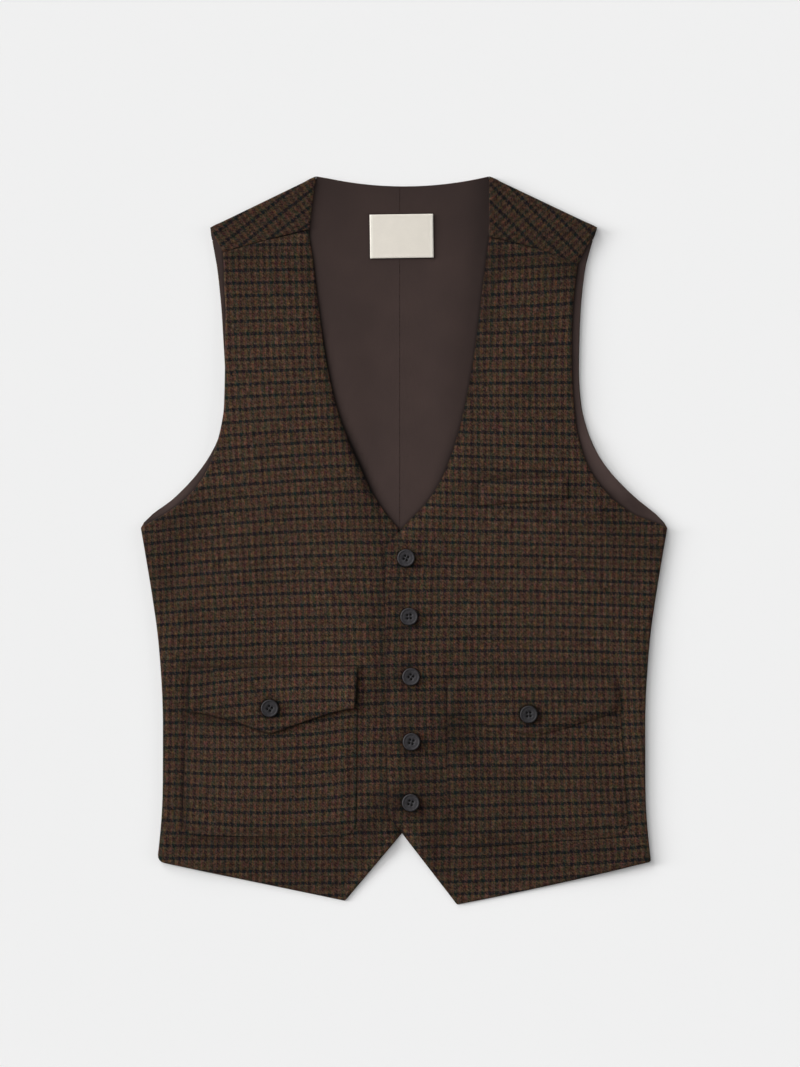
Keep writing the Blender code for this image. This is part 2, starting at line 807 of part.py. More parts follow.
def fill_round(bm, outer, holes):
    """Fill a ring but for the holes inside it."""
    edges = []
    for ring in [outer, *holes]:
        for index, vert in enumerate(ring):
            after = ring[(index + 1) % len(ring)]
            edges.append(bm.edges.get((vert, after)) or bm.edges.new((vert, after)))
    bmesh.ops.triangle_fill(bm, use_beauty=True, edges=edges)


def button_seat(button):
    """The highest level of the cloth under a button."""
    highest = 0.0
    for index in range(BUTTON_SIDES):
        angle = 2.0 * pi * index / BUTTON_SIDES
        x = button.x + BUTTON_RADIUS * cos(angle)
        height = button.height + BUTTON_RADIUS * sin(angle)
        if button.seat == "front":
            level = front_level(1, x, height) + CANVASSED_FRONT
        else:
            level = flap_level(neck_column(button.x), x, height) + WOOL
        highest = max(highest, level)
    return highest


def build_buttons():
    """The five front buttons and the two on the flaps."""
    for button in BUTTONS:
        bm = bmesh.new()
        base = button_seat(button) + GAP
        rings = []
        for row in BUTTON_PROFILE:
            rings.append(circle(bm, button.x, button.height, base + row.height, row.radius, BUTTON_SIDES))
        for lower, upper in zip(rings, rings[1:]):
            join_rings(bm, lower, upper)
        feet = []
        tops = []
        for quarter in range(4):
            angle = radians(button.turn) + pi / 2.0 * quarter
            x = button.x + HOLE_SPREAD * cos(angle)
            height = button.height + HOLE_SPREAD * sin(angle)
            feet.append(circle(bm, x, height, base, HOLE_RADIUS, HOLE_SIDES))
            dish = base + BUTTON_PROFILE[-1].height
            tops.append(circle(bm, x, height, dish, HOLE_RADIUS, HOLE_SIDES))
            join_rings(bm, feet[-1], tops[-1])
        fill_round(bm, rings[0], feet)
        fill_round(bm, rings[-1], tops)
        finish_piece(bm, button.name, HORN)


def build():
    """Clear the scene and build every piece, from the surface up."""
    for item in list(bpy.data.objects):
        bpy.data.objects.remove(item, do_unlink=True)
    build_back()
    build_lining()
    build_fronts()
    build_yokes()
    build_pockets()
    build_flaps()
    build_welt()
    build_label()
    build_buttons()


build()
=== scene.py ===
"""A checked suit waistcoat laid flat on its back, dressed over its construction model.

The drawing space of the tables is in millimetres: x runs across the garment to the wearer's left, and a
height is measured up the garment from the points of its fronts. Meshes are in metres. Each piece of cloth
is cut again to the outline of its solid, laid on the solid's level, creased, rolled at its edges, and given
a grain map that its weave follows.
"""

import logging
from collections.abc import Callable, Sequence
from dataclasses import dataclass, field
from enum import Enum
from math import atan2, cos, degrees, pi, radians, sin, tan
from typing import ClassVar

import bmesh
import bpy
import numpy as np
from mathutils import Matrix, Vector
from mathutils.bvhtree import BVHTree


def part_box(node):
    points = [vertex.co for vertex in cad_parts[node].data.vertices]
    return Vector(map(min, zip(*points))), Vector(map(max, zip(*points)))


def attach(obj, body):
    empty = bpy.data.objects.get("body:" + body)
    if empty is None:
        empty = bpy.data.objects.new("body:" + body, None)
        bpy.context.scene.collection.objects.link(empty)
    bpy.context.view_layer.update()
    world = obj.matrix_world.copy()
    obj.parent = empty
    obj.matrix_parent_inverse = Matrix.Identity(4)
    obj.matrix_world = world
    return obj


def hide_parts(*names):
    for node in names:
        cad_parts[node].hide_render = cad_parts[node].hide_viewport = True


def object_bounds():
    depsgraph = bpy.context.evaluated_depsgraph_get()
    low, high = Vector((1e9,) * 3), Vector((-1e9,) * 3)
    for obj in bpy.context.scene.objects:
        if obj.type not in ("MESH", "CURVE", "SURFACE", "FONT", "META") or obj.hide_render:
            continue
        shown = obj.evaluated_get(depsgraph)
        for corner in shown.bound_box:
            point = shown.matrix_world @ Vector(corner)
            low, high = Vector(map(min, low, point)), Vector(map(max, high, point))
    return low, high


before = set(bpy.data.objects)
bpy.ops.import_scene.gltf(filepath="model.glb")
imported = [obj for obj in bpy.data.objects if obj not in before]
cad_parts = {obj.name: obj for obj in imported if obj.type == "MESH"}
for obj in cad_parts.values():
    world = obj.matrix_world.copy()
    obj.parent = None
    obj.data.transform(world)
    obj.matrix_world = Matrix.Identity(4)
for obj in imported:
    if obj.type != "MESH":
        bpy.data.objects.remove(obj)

log = logging.getLogger("waistcoat")

MM = 0.001
SOLID_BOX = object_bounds()
HALF_LENGTH = -SOLID_BOX[0].y / MM
ROOT = "root"
GRAIN_MAP = "grain"
# The point attribute that carries painted shade and painted light, and each button's tone.
PAINTED_SHADE_AND_TONE_MAP = "tone"

Colour = tuple[float, float, float]
Point = tuple[float, float]
Numbers = np.ndarray
Mesh = bmesh.types.BMesh
Socket = bpy.types.NodeSocket
Dye = Colour | Socket


# Drawing space.


def drawn(place: Vector) -> Vector:
    """A place of the frame, in the drawing space."""
    return Vector((place.x / MM, place.y / MM + HALF_LENGTH, place.z / MM))


def framed(place: Vector) -> Vector:
    """A place of the drawing space, in the frame."""
    return Vector((place.x * MM, (place.y - HALF_LENGTH) * MM, place.z * MM))


def ease(share: Numbers) -> Numbers:
    """Ease from 0 to 1 as a share runs from 0 to 1."""
    share = np.clip(share, 0.0, 1.0)
    return share * share * (3.0 - 2.0 * share)


def hump(off: Numbers, width: float) -> Numbers:
    """A bell of height 1 about 0."""
    return np.exp(-((off / width) ** 2))


# Shader maths.


def wired(operation: str, swapped: bool = False) -> Callable[..., "Wire"]:
    """Make a method of Wire that adds a Math node.

    Args:
        operation: What the node does.
        swapped: Whether the wire is its second number.

    Returns:
        The method, which takes the other number, if there is one.
    """

    def apply(wire: "Wire", other: "Wire | float" = 0.0) -> "Wire":
        """Add the node."""
        first, second = (other, wire) if swapped else (wire, other)
        return wire.bench.maths(operation, first, second)

    return apply


class Wire:
    """A number that flows through a material, on which ordinary arithmetic can be done."""

    __add__ = wired("ADD")
    __radd__ = wired("ADD", swapped=True)
    __sub__ = wired("SUBTRACT")
    __rsub__ = wired("SUBTRACT", swapped=True)
    __mul__ = wired("MULTIPLY")
    __rmul__ = wired("MULTIPLY", swapped=True)
    __truediv__ = wired("DIVIDE")
    __mod__ = wired("FLOORED_MODULO")
    __lt__ = wired("LESS_THAN")
    floor = wired("FLOOR")
    fraction = wired("FRACT")
    sine = wired("SINE")
    power = wired("POWER")
    size = wired("ABSOLUTE")
    at_least = wired("MAXIMUM")
    at_most = wired("MINIMUM")

    def __init__(self, bench: "Bench", socket: Socket) -> None:
        """Keep the socket and the bench that extends it."""
        self.bench = bench
        self.socket = socket

    def ramp(self, low: float, high: float) -> "Wire":
        """Ease from 0 to 1 between two numbers.

        Args:
            low: Where it is 0.
            high: Where it is 1.

        Returns:
            The eased number.
        """
        settings = {"interpolation_type": "SMOOTHSTEP"}
        inputs = {"Value": self, "From Min": low, "From Max": high}
        return self.bench.number("ShaderNodeMapRange", settings, inputs, "Result")

    def wave(self, pitch: float) -> "Wire":
        """A wave from 0 to 1 that repeats every pitch."""
        return (self * (2.0 * pi / pitch)).sine() * 0.5 + 0.5

    def pick(self, chosen: "Wire", other: "Wire") -> "Wire":
        """One number where this is 1, and another where it is 0."""
        return self * chosen + (1.0 - self) * other


class Bench:
    """The nodes of one material, and the ways to add to them."""

    def __init__(self, name: str) -> None:
        """Start an empty material.

        Args:
            name: The material's name.
        """
        self.material = bpy.data.materials.new(name)
        self.material.use_nodes = True
        self.tree = self.material.node_tree
        self.tree.nodes.clear()

    def node(self, kind: str, settings: dict | None = None, inputs: dict | None = None) -> bpy.types.Node:
        """Add a node.

        Args:
            kind: The node's type.
            settings: Its properties; stops, for a ramp, are (place, colour) pairs.
            inputs: Values or links for its sockets, by name or number.

        Returns:
            The node.
        """
        made = self.tree.nodes.new(kind)
        for key, value in (settings or {}).items():
            if key == "stops":
                self.set_stops(made.color_ramp, value)
            else:
                setattr(made, key, value)
        for key, value in (inputs or {}).items():
            socket = made.inputs[key]
            if isinstance(value, Wire):
                self.tree.links.new(value.socket, socket)
            elif isinstance(value, Socket):
                self.tree.links.new(value, socket)
            elif isinstance(value, tuple) and socket.type == "RGBA":
                socket.default_value = (*value, 1.0)
            else:
                socket.default_value = value
        return made

    @staticmethod
    def set_stops(ramp: bpy.types.ColorRamp, stops: Sequence[tuple[float, Colour]]) -> None:
        """Set a ramp's stops to (place, colour) pairs, each colour held until the next.

        Args:
            ramp: The ramp.
            stops: The place, from 0 to 1, and the colour of each stop.
        """
        ramp.interpolation = "CONSTANT"
        while len(ramp.elements) < len(stops):
            ramp.elements.new(1.0)
        for element, (place, colour) in zip(ramp.elements, stops):
            element.position = place
            element.color = (*colour, 1.0)

    def number(self, kind: str, settings: dict, inputs: dict, output: str) -> Wire:
        """Add a node and take one of its numbers."""
        return Wire(self, self.node(kind, settings, inputs).outputs[output])

    def maths(self, operation: str, first: "Wire | float", second: "Wire | float" = 0.0) -> Wire:
        """Add a Math node."""
        made = self.node("ShaderNodeMath", {"operation": operation}, {0: first, 1: second})
        return Wire(self, made.outputs[0])

    def parts(self, vector: Socket) -> tuple[Wire, Wire, Wire]:
        """The three numbers of a vector or colour."""
        made = self.node("ShaderNodeSeparateXYZ", {}, {"Vector": vector})
        return tuple(Wire(self, output) for output in made.outputs)

    def joined(self, x: "Wire | float", y: "Wire | float", z: "Wire | float" = 0.0) -> Socket:
        """A vector of three numbers."""
        return self.node("ShaderNodeCombineXYZ", {}, {"X": x, "Y": y, "Z": z}).outputs["Vector"]

    def place(self) -> Socket:
        """The place on the object, in metres."""
        return self.node("ShaderNodeTexCoord").outputs["Object"]

    def grain(self) -> tuple[Wire, Wire]:
        """The place along and across the cloth, in millimetres."""
        across, along, _ = self.parts(self.node("ShaderNodeUVMap", {"uv_map": GRAIN_MAP}).outputs["UV"])
        return across, along

    def tone(self) -> Wire:
        """The painted shade and light, or a button's tone, read from the piece's own points."""
        made = self.node("ShaderNodeAttribute", {"attribute_name": PAINTED_SHADE_AND_TONE_MAP, "attribute_type": "GEOMETRY"})
        return Wire(self, made.outputs["Fac"])

    def noise(
        self, vector: Socket, scale: float, detail: float = 2.0, rough: float = 0.5
    ) -> tuple[Wire, ...]:
        """Soft noise.

        Args:
            vector: Where it is read.
            scale: How many patches there are for each unit of the vector.
            detail: How many finer layers it has.
            rough: How strong they are.

        Returns:
            Its number, and three more from its colour, each from 0 to 1.
        """
        inputs = {"Vector": vector, "Scale": scale, "Detail": detail, "Roughness": rough}
        made = self.node("ShaderNodeTexNoise", {"noise_dimensions": "3D"}, inputs)
        return (Wire(self, made.outputs["Fac"]), *self.parts(made.outputs["Color"]))

    def mix(self, share: "Wire | float", under: Dye, over: Dye) -> Socket:
        """Mix two colours."""
        inputs = {0: share, 6: under, 7: over}
        return self.node("ShaderNodeMix", {"data_type": "RGBA"}, inputs).outputs[2]

    def shade(self, colour: Dye, amount: Wire) -> Socket:
        """A colour made lighter or darker."""
        settings = {"operation": "SCALE"}
        return self.node("ShaderNodeVectorMath", settings, {0: colour, "Scale": amount}).outputs[0]

    def bump(self, height: Wire, depth: float) -> Socket:
        """A relief from a height of 0 to 1.

        Args:
            height: The height.
            depth: What a height of 1 is, in metres.

        Returns:
            The normal.
        """
        inputs = {"Strength": 1.0, "Distance": depth, "Height": height}
        return self.node("ShaderNodeBump", {}, inputs).outputs["Normal"]

    def finish(self, colour: Dye, rough: "Wire | float", inputs: dict) -> bpy.types.Material:
        """Close the material with its shader.

        Args:
            colour: Its colour.
            rough: Its roughness.
            inputs: Values or links of the shader's other sockets.

        Returns:
            The material.
        """
        inputs = {"Base Color": colour, "Roughness": rough, **inputs}
        shader = self.node("ShaderNodeBsdfPrincipled", {}, inputs)
        self.node("ShaderNodeOutputMaterial", {}, {"Surface": shader.outputs["BSDF"]})
        return self.material


# Finishes.


@dataclass(frozen=True)
class CheckedWool:
    """Woolly 2/2 twill in a small check: navy and maroon bands of weft over green and plum bands of warp.

    Colours are in linear light, from 0 to 1. Sizes are in millimetres.
    """

    name: str = "checked_wool"
    warp_thread: float = 5.77 / 8
    weft_thread: float = 11.36 / 16
    weft_start: float = 0.35
    float_over: float = 2.0
    band: float = 4.0
    ground: Colour = (0.0632, 0.0371, 0.0218)
    green: Colour = (0.0088, 0.0170, 0.0120)
    plum: Colour = (0.0150, 0.0088, 0.0085)
    weft_ground: Colour = (0.0712, 0.0408, 0.0243)
    navy: Colour = (0.001, 0.0035, 0.0075)
    maroon: Colour = (0.060, 0.0255, 0.0165)
    fibres: tuple[Colour, ...] = ((0.18, 0.056, 0.025), (0.13, 0.082, 0.038), (0.016, 0.036, 0.024))
    flecks: float = 0.3
    tints: Colour = (2.5, 1.4, 2.1)
    drift: Point = (0.65, 0.85)
    twist: float = 1.9
    lump: float = 3.0
    hazes: Colour = (0.14, 0.15, 0.24)
    relief: float = 0.00016

    def material(self) -> bpy.types.Material:
        """Build the material.

        Returns:
            The material.
        """
        bench = Bench(self.name)
        place = bench.place()
        across, along = bench.grain()
        _, drift_x, drift_y, _ = bench.noise(place, 240.0, 1.0)
        warp = (across + (drift_x - 0.5) * self.drift[0]) / self.warp_thread
        weft = (along + self.weft_start + (drift_y - 0.5) * self.drift[1]) / self.weft_thread
        on_top = ((warp.floor() + weft.floor()) % (2.0 * self.float_over)) < self.float_over
        colour = self.bands(bench, warp, weft, on_top)
        colour = self.heathered(bench, colour, warp, weft, on_top)
        index = on_top.pick(warp.floor(), weft.floor() + 511.0)
        run = on_top.pick(along, across)
        side = on_top.pick(warp.fraction(), weft.fraction())
        twist, _, _, _ = bench.noise(bench.joined(index * 1.618, run / 1.7), 1.0, 2.0, 0.6)
        lump, _, _, _ = bench.noise(place, 420.0, 2.0, 0.7)
        nap, nap_other, _, _ = bench.noise(place, 1500.0, 3.0, 0.7)
        broad, _, _, _ = bench.noise(place, 14.0, 2.0)
        # The sides of each thread are darker: painted shade in the gaps between threads.
        edge = (side * 2.0 - 1.0).power(2.0)
        light = 1.0 + (twist - 0.5) * self.twist + (lump - 0.5) * self.lump
        light = light.at_least(0.15).at_most(2.2) * (1.06 - edge * 0.3)
        # The point attribute multiplies in the piece's painted shade and painted light.
        light = light * (0.62 + nap * 0.76) * (0.95 + broad * 0.1) * bench.tone()
        height = (1.0 - edge) * 0.6 + nap_other * 0.5 + twist * 0.3
        inputs = {
            "IOR": 1.4,
            "Specular IOR Level": 0.12,
            "Sheen Weight": 0.04,
            "Sheen Roughness": 0.5,
            "Sheen Tint": (0.9, 0.72, 0.6),
            "Normal": bench.bump(height, self.relief),
        }
        return bench.finish(bench.shade(colour, light), 0.92, inputs)

    def bands(self, bench: Bench, warp: Wire, weft: Wire, on_top: Wire) -> Socket:
        """The colours of the bands, with the haze that the nap spreads from the dark ones.

        Args:
            bench: The material's bench.
            warp: The place across, in warp threads.
            weft: The place along, in weft threads.
            on_top: 1 where the warp is on top.

        Returns:
            The colour.
        """
        under = self.striped(bench, weft, (self.navy, self.weft_ground, self.maroon, self.weft_ground))
        over = self.striped(bench, warp, (self.green, self.ground, self.plum, self.ground))
        colour = bench.mix(on_top * 0.6 + 0.2, under, over)
        places = ((warp, 2.0 * self.band), (warp, 0.0), (weft, 0.0))
        for (place, middle), strength, dye in zip(places, self.hazes, (self.plum, self.green, self.navy)):
            colour = bench.mix(self.haze(place, middle) * strength, colour, dye)
        return colour

    def striped(self, bench: Bench, place: Wire, colours: tuple[Colour, ...]) -> Socket:
        """The colour of a thread: four bands that repeat, the first about thread 0.

        Args:
            bench: The material's bench.
            place: The place, in threads.
            colours: The bands' colours.

        Returns:
            The colour.
        """
        repeat = self.band * len(colours)
        share = ((place.floor() + self.band / 2.0) % repeat) / repeat + 0.01
        stops = [(number / len(colours), colour) for number, colour in enumerate(colours)]
        return bench.node("ShaderNodeValToRGB", {"stops": stops}, {"Fac": share}).outputs["Color"]

    def haze(self, place: Wire, middle: float) -> Wire:
        """1 near the middle of a band and 0 away from it.

        Args:
            place: The place, in threads.
            middle: The thread in the band's middle.

        Returns:
            The haze's strength.
        """
        half = 2.0 * self.band
        off = ((place + (half - middle)) % (2.0 * half) - half).size()
        return 1.0 - off.ramp(self.band * 0.25, self.band * 0.82)

    def heathered(
        self, bench: Bench, colour: Socket, warp: Wire, weft: Wire, on_top: Wire
    ) -> Socket:
        """Tint the yarns along their length, and fleck them with other fibre.

        Args:
            bench: The material's bench.
            colour: The colour of the bands.
            warp: The place across, in warp threads.
            weft: The place along, in weft threads.
            on_top: 1 where the warp is on top.

        Returns:
            The colour.
        """
        _, *of_warp = bench.noise(bench.joined(warp * 0.65, weft * 0.1), 1.0, 1.0, 0.6)
        _, *of_weft = bench.noise(bench.joined(warp * 0.18, weft * 0.65, 7.0), 1.0, 1.0, 0.6)
        share = on_top * 0.6 + 0.4
        mixed = [down * share + cross * (1.0 - share) - 0.5 for down, cross in zip(of_warp, of_weft)]
        tint = bench.joined(*(1.0 + wire * much for wire, much in zip(mixed, self.tints)))
        settings = {"operation": "MULTIPLY"}
        colour = bench.node("ShaderNodeVectorMath", settings, {0: colour, 1: tint}).outputs[0]
        _, *fibres = bench.noise(bench.joined(warp * 0.9, weft * 0.32, 3.0), 1.0, 2.0, 0.6)
        for fibre, dye in zip(fibres, self.fibres):
            colour = bench.mix(fibre.ramp(0.56, 0.74) * self.flecks, colour, dye)
        return colour


@dataclass(frozen=True)
class LiningTwill:
    """Plain dark lining, a fine twill with a soft lustre."""

    name: str = "lining_twill"
    colour: Colour = (0.0508, 0.0346, 0.0314)
    warm: Colour = (0.0608, 0.0400, 0.0352)
    rib: float = 0.42
    relief: float = 0.00007

    def material(self) -> bpy.types.Material:
        """Build the material.

        Returns:
            The material.
        """
        bench = Bench(self.name)
        place = bench.place()
        across, along = bench.grain()
        rib = (across + along).wave(self.rib)
        slub, _, streak, _ = bench.noise(bench.joined(across * 2.2, along * 0.06), 1.0, 3.0, 0.6)
        broad, cast, _, _ = bench.noise(place, 22.0, 2.0)
        fine, _, _, _ = bench.noise(place, 2600.0, 2.0)
        light = (0.86 + slub * 0.16 + broad * 0.16) * (0.88 + fine * 0.2) * (0.93 + rib * 0.12)
        colour = bench.mix(cast.ramp(0.35, 0.7) * 0.35, self.colour, self.warm)
        inputs = {
            "Specular IOR Level": 0.04,
            "Sheen Weight": 0.02,
            "Sheen Roughness": 0.4,
            "Normal": bench.bump(rib * 0.5 + slub * 0.8 + fine * 0.3, self.relief),
        }
        # The point attribute multiplies in the lining's painted shade and painted light.
        return bench.finish(bench.shade(colour, light * bench.tone()), 0.52 + streak * 0.16, inputs)


@dataclass(frozen=True)
class LabelSatin:
    """Cream woven label cloth, with fine ribs across and a paler selvedge at its two ends."""

    name: str = "label_satin"
    colour: Colour = (0.78, 0.729, 0.646)
    pale: Colour = (0.822, 0.778, 0.694)
    half_width: float = 29.0
    selvedge: float = 3.0
    rib: float = 0.36
    thread: float = 0.3
    relief: float = 0.00008

    def material(self) -> bpy.types.Material:
        """Build the material.

        Returns:
            The material.
        """
        bench = Bench(self.name)
        place = bench.place()
        across, along = bench.grain()
        rib = along.wave(self.rib)
        warp = across.wave(self.thread)
        inner = self.half_width - self.selvedge
        end = across.size().ramp(inner - self.thread, inner + self.thread)
        slub, grey, _, _ = bench.noise(bench.joined(across * 0.25, along * 3.0), 1.0, 2.0)
        soil, _, _, _ = bench.noise(place, 90.0, 3.0)
        base = bench.mix(end, self.colour, self.pale)
        light = (0.90 + rib * 0.06 + slub * 0.08) * (0.93 + soil * 0.1)
        inputs = {
            "Specular IOR Level": 0.4,
            "Sheen Weight": 0.1,
            "Normal": bench.bump(rib * 0.6 + warp * 0.3 + slub * 0.5, self.relief),
        }
        return bench.finish(bench.shade(base, light), 0.55 + grey * 0.2, inputs)


@dataclass(frozen=True)
class Horn:
    """Dark blue-grey button stuff, dull, turned in faint rings and clouded."""

    name: str = "dark_horn"
    colour: Colour = (0.0275, 0.0252, 0.0282)
    dark: Colour = (0.0105, 0.0095, 0.0112)
    ring: float = 2.0 * pi / 7.5
    relief: float = 0.00005

    def material(self) -> bpy.types.Material:
        """Build the material.

        Returns:
            The material.
        """
        bench = Bench(self.name)
        place = bench.place()
        across, along = bench.grain()
        radius = (across.power(2.0) + along.power(2.0)).power(0.5)
        cloud, vein, _, _ = bench.noise(place, 520.0, 4.0, 0.6)
        turned = (radius + vein * 0.5).wave(self.ring)
        scratch, _, _, _ = bench.noise(place, 3000.0, 3.0, 0.7)
        share = (cloud.ramp(0.32, 0.66) * 0.75 + turned * 0.25).at_least(0.0).at_most(1.0)
        inputs = {
            "Specular IOR Level": 0.3,
            "Normal": bench.bump(turned * 0.35 + scratch * 0.3, self.relief),
        }
        # The point attribute multiplies in each button's tone and the painted shade in its holes.
        colour = bench.shade(bench.mix(share, self.dark, self.colour), bench.tone())
        return bench.finish(colour, 0.46 + cloud * 0.16 + scratch * 0.14, inputs)


@dataclass(frozen=True)
class SewingThread:
    """Spun thread, plied along its own length."""

    name: str
    colour: Colour
    relief: float = 0.0001

    def material(self) -> bpy.types.Material:
        """Build the material.

        Returns:
            The material.
        """
        bench = Bench(self.name)
        place = bench.place()
        ply, _, _, _ = bench.noise(place, 2400.0, 2.0, 0.6)
        lint, _, _, _ = bench.noise(place, 700.0, 2.0)
        inputs = {
            "Sheen Weight": 0.1,
            "Normal": bench.bump(ply, self.relief),
        }
        return bench.finish(bench.shade(self.colour, 0.6 + ply * 0.5 + lint * 0.3), 0.7 + ply * 0.2, inputs)


@dataclass(frozen=True)
class PaleFloor:
    """Plain matt backdrop paper."""

    name: str = "pale_floor"
    colour: Colour = (0.86, 0.86, 0.86)

    def material(self) -> bpy.types.Material:
        """Build the material."""
        bench = Bench(self.name)
        return bench.finish(self.colour, 1.0, {"Specular IOR Level": 0.0})


class Finish(Enum):
    """The finishes, and the name of a slot for each."""

    WOOL = (CheckedWool(), "wool")
    LINING = (LiningTwill(), "lining")
    LABEL = (LabelSatin(), "label")
    BUTTON = (Horn(), "button")
    BROWN_THREAD = (SewingThread("brown_thread", (0.026, 0.017, 0.012)), "wool")
    BLACK_THREAD = (SewingThread("black_thread", (0.0015, 0.0015, 0.0015)), "button")
    GREY_THREAD = (SewingThread("grey_thread", (0.0045, 0.0042, 0.0048)), "button")

    @property
    def slot(self) -> str:
        """The slot's name."""
        return self.value[1]

    def material(self) -> bpy.types.Material:
        """The material, built once."""
        return bpy.data.materials.get(self.value[0].name) or self.value[0].material()


# How the cloth's lines run.


class Yarn(Enum):
    """The two sets of a weave's threads."""

    WARP = "warp"
    WEFT = "weft"


@dataclass(frozen=True)
class BendRow:
    """How far the weave has been moved at a height: near the centre, midway and near the side seam."""

    height: float
    weft: tuple[float, float, float]
    warp: tuple[float, float, float]


@dataclass(frozen=True)
class StraightGrain:
    """Weave that lies square, or turned about a point."""

    turn: float = 0.0
    middle: Point = (0.0, 0.0)

    def at(self, x: Numbers, height: Numbers) -> tuple[Numbers, Numbers]:
        """The places across and along the cloth of points of the drawing.

        Args:
            x: Places across the drawing.
            height: Places up it.

        Returns:
            Their places across and along the cloth.
        """
        turn = radians(self.turn)
        x = x - self.middle[0]
        height = height - self.middle[1]
        return x * cos(turn) + height * sin(turn), height * cos(turn) - x * sin(turn)


@dataclass(frozen=True)
class FrontGrain:
    """Weave of a front, bent where the cloth is shaped."""

    side: int
    rows: tuple[BendRow, ...]
    columns: tuple[float, float, float] = (20.0, 110.0, 200.0)
    reach: Point = (-20.0, 240.0)

    def moved(self, yarn: Yarn, x: Numbers, height: Numbers) -> Numbers:
        """How far one set of lines has moved at points of the drawing.

        Args:
            yarn: The set of lines.
            x: Places across the drawing.
            height: Places up it.

        Returns:
            How far it has moved, in millimetres.
        """
        rows = sorted(self.rows, key=lambda row: row.height)
        heights = [row.height for row in rows]
        out = np.clip(self.side * x, *self.reach)
        total = np.zeros_like(out)
        for number, column in enumerate(self.columns):
            weight = np.ones_like(out)
            for other in self.columns:
                if other != column:
                    weight = weight * (out - other) / (column - other)
            total += weight * np.interp(height, heights, [getattr(row, yarn.value)[number] for row in rows])
        return total

    def at(self, x: Numbers, height: Numbers) -> tuple[Numbers, Numbers]:
        """The places across and along the cloth of points of the drawing."""
        return x + self.moved(Yarn.WARP, x, height), height + self.moved(Yarn.WEFT, x, height)


@dataclass(frozen=True)
class PatchGrain:
    """Weave of a piece sewn on a front: the front's, with weft lines of its own slope and bow."""

    front: FrontGrain
    middle: Point
    moved: float
    slope: float
    stretch: float
    bow: float
    skew: float
    half_size: Point = (75.0, 50.0)

    def at(self, x: Numbers, height: Numbers) -> tuple[Numbers, Numbers]:
        """The places across and along the cloth of points of the drawing.

        Args:
            x: Places across the drawing.
            height: Places up it.

        Returns:
            Their places across and along the cloth.
        """
        out = (x - self.middle[0]) / self.half_size[0]
        up = (height - self.middle[1]) / self.half_size[1]
        weft = self.moved + self.slope * out + self.stretch * up
        weft = weft + self.bow * out * out + self.skew * out * up
        return x + self.front.moved(Yarn.WARP, x, height), height + weft


RIGHT_GRAIN = FrontGrain(
    -1,
    (
        BendRow(600, (-3.0, -2.5, -1.5), (18.0, 19.0, 17.0)),
        BendRow(500, (-4.0, -1.0, 2.0), (13.0, 15.0, 14.0)),
        BendRow(410, (-6.0, -2.0, 6.0), (8.0, 9.5, 7.0)),
        BendRow(350, (-2.5, -0.5, 7.0), (5.0, 5.0, 2.0)),
        BendRow(260, (-2.5, -1.5, 3.0), (-1.5, 0.3, -2.0)),
        BendRow(200, (-3.5, -0.5, 3.0), (-3.4, 0.0, 0.5)),
        BendRow(140, (-1.5, 1.0, 3.0), (-1.6, -0.5, 0.5)),
        BendRow(80, (1.5, 2.5, 2.0), (-2.7, 0.5, 2.0)),
        BendRow(20, (1.5, 3.0, 3.0), (-4.0, 1.0, 4.0)),
    ),
)
LEFT_GRAIN = FrontGrain(
    1,
    (
        BendRow(600, (1.0, -5.0, -11.0), (3.0, -2.0, -6.0)),
        BendRow(560, (1.0, -3.6, -9.0), (3.0, -1.5, -5.0)),
        BendRow(500, (0.0, -1.0, -4.0), (3.0, 0.5, -2.0)),
        BendRow(410, (-3.5, 0.0, 2.0), (2.5, 0.0, -2.0)),
        BendRow(350, (-3.0, 0.0, 2.2), (2.0, -1.0, -2.0)),
        BendRow(290, (-4.0, -3.6, -1.0), (4.0, -0.8, -1.3)),
        BendRow(230, (-5.0, -6.0, -4.0), (5.0, -1.0, -1.5)),
        BendRow(170, (-3.6, -5.0, -6.7), (4.0, -3.0, -4.0)),
        BendRow(110, (0.5, -2.0, -4.0), (1.0, -4.5, -7.5)),
        BendRow(50, (3.7, -1.0, -6.7), (0.5, -6.0, -12.0)),
        BendRow(20, (2.0, -1.0, -6.0), (1.0, -6.0, -13.0)),
    ),
)


# Creases, patches of painted shade and painted light, and painted shadows.


@dataclass(frozen=True)
class Crease:
    """A soft ridge, or a trough where the rise is negative; among painted shades, a patch of painted
    shade, or of painted light where the rise is negative.

    It runs through a point, leaning so many degrees from upright, and curves sideways by the bend at its
    ends.
    """

    x: float
    height: float
    reach: float
    width: float
    lean: float
    rise: float
    bend: float = 0.0


def crease_table(*rows: Sequence[float]) -> tuple[Crease, ...]:
    """Creases from rows of an x, a height, a reach, a width, a lean, a rise and a bend."""
    return tuple(Crease(*row) for row in rows)


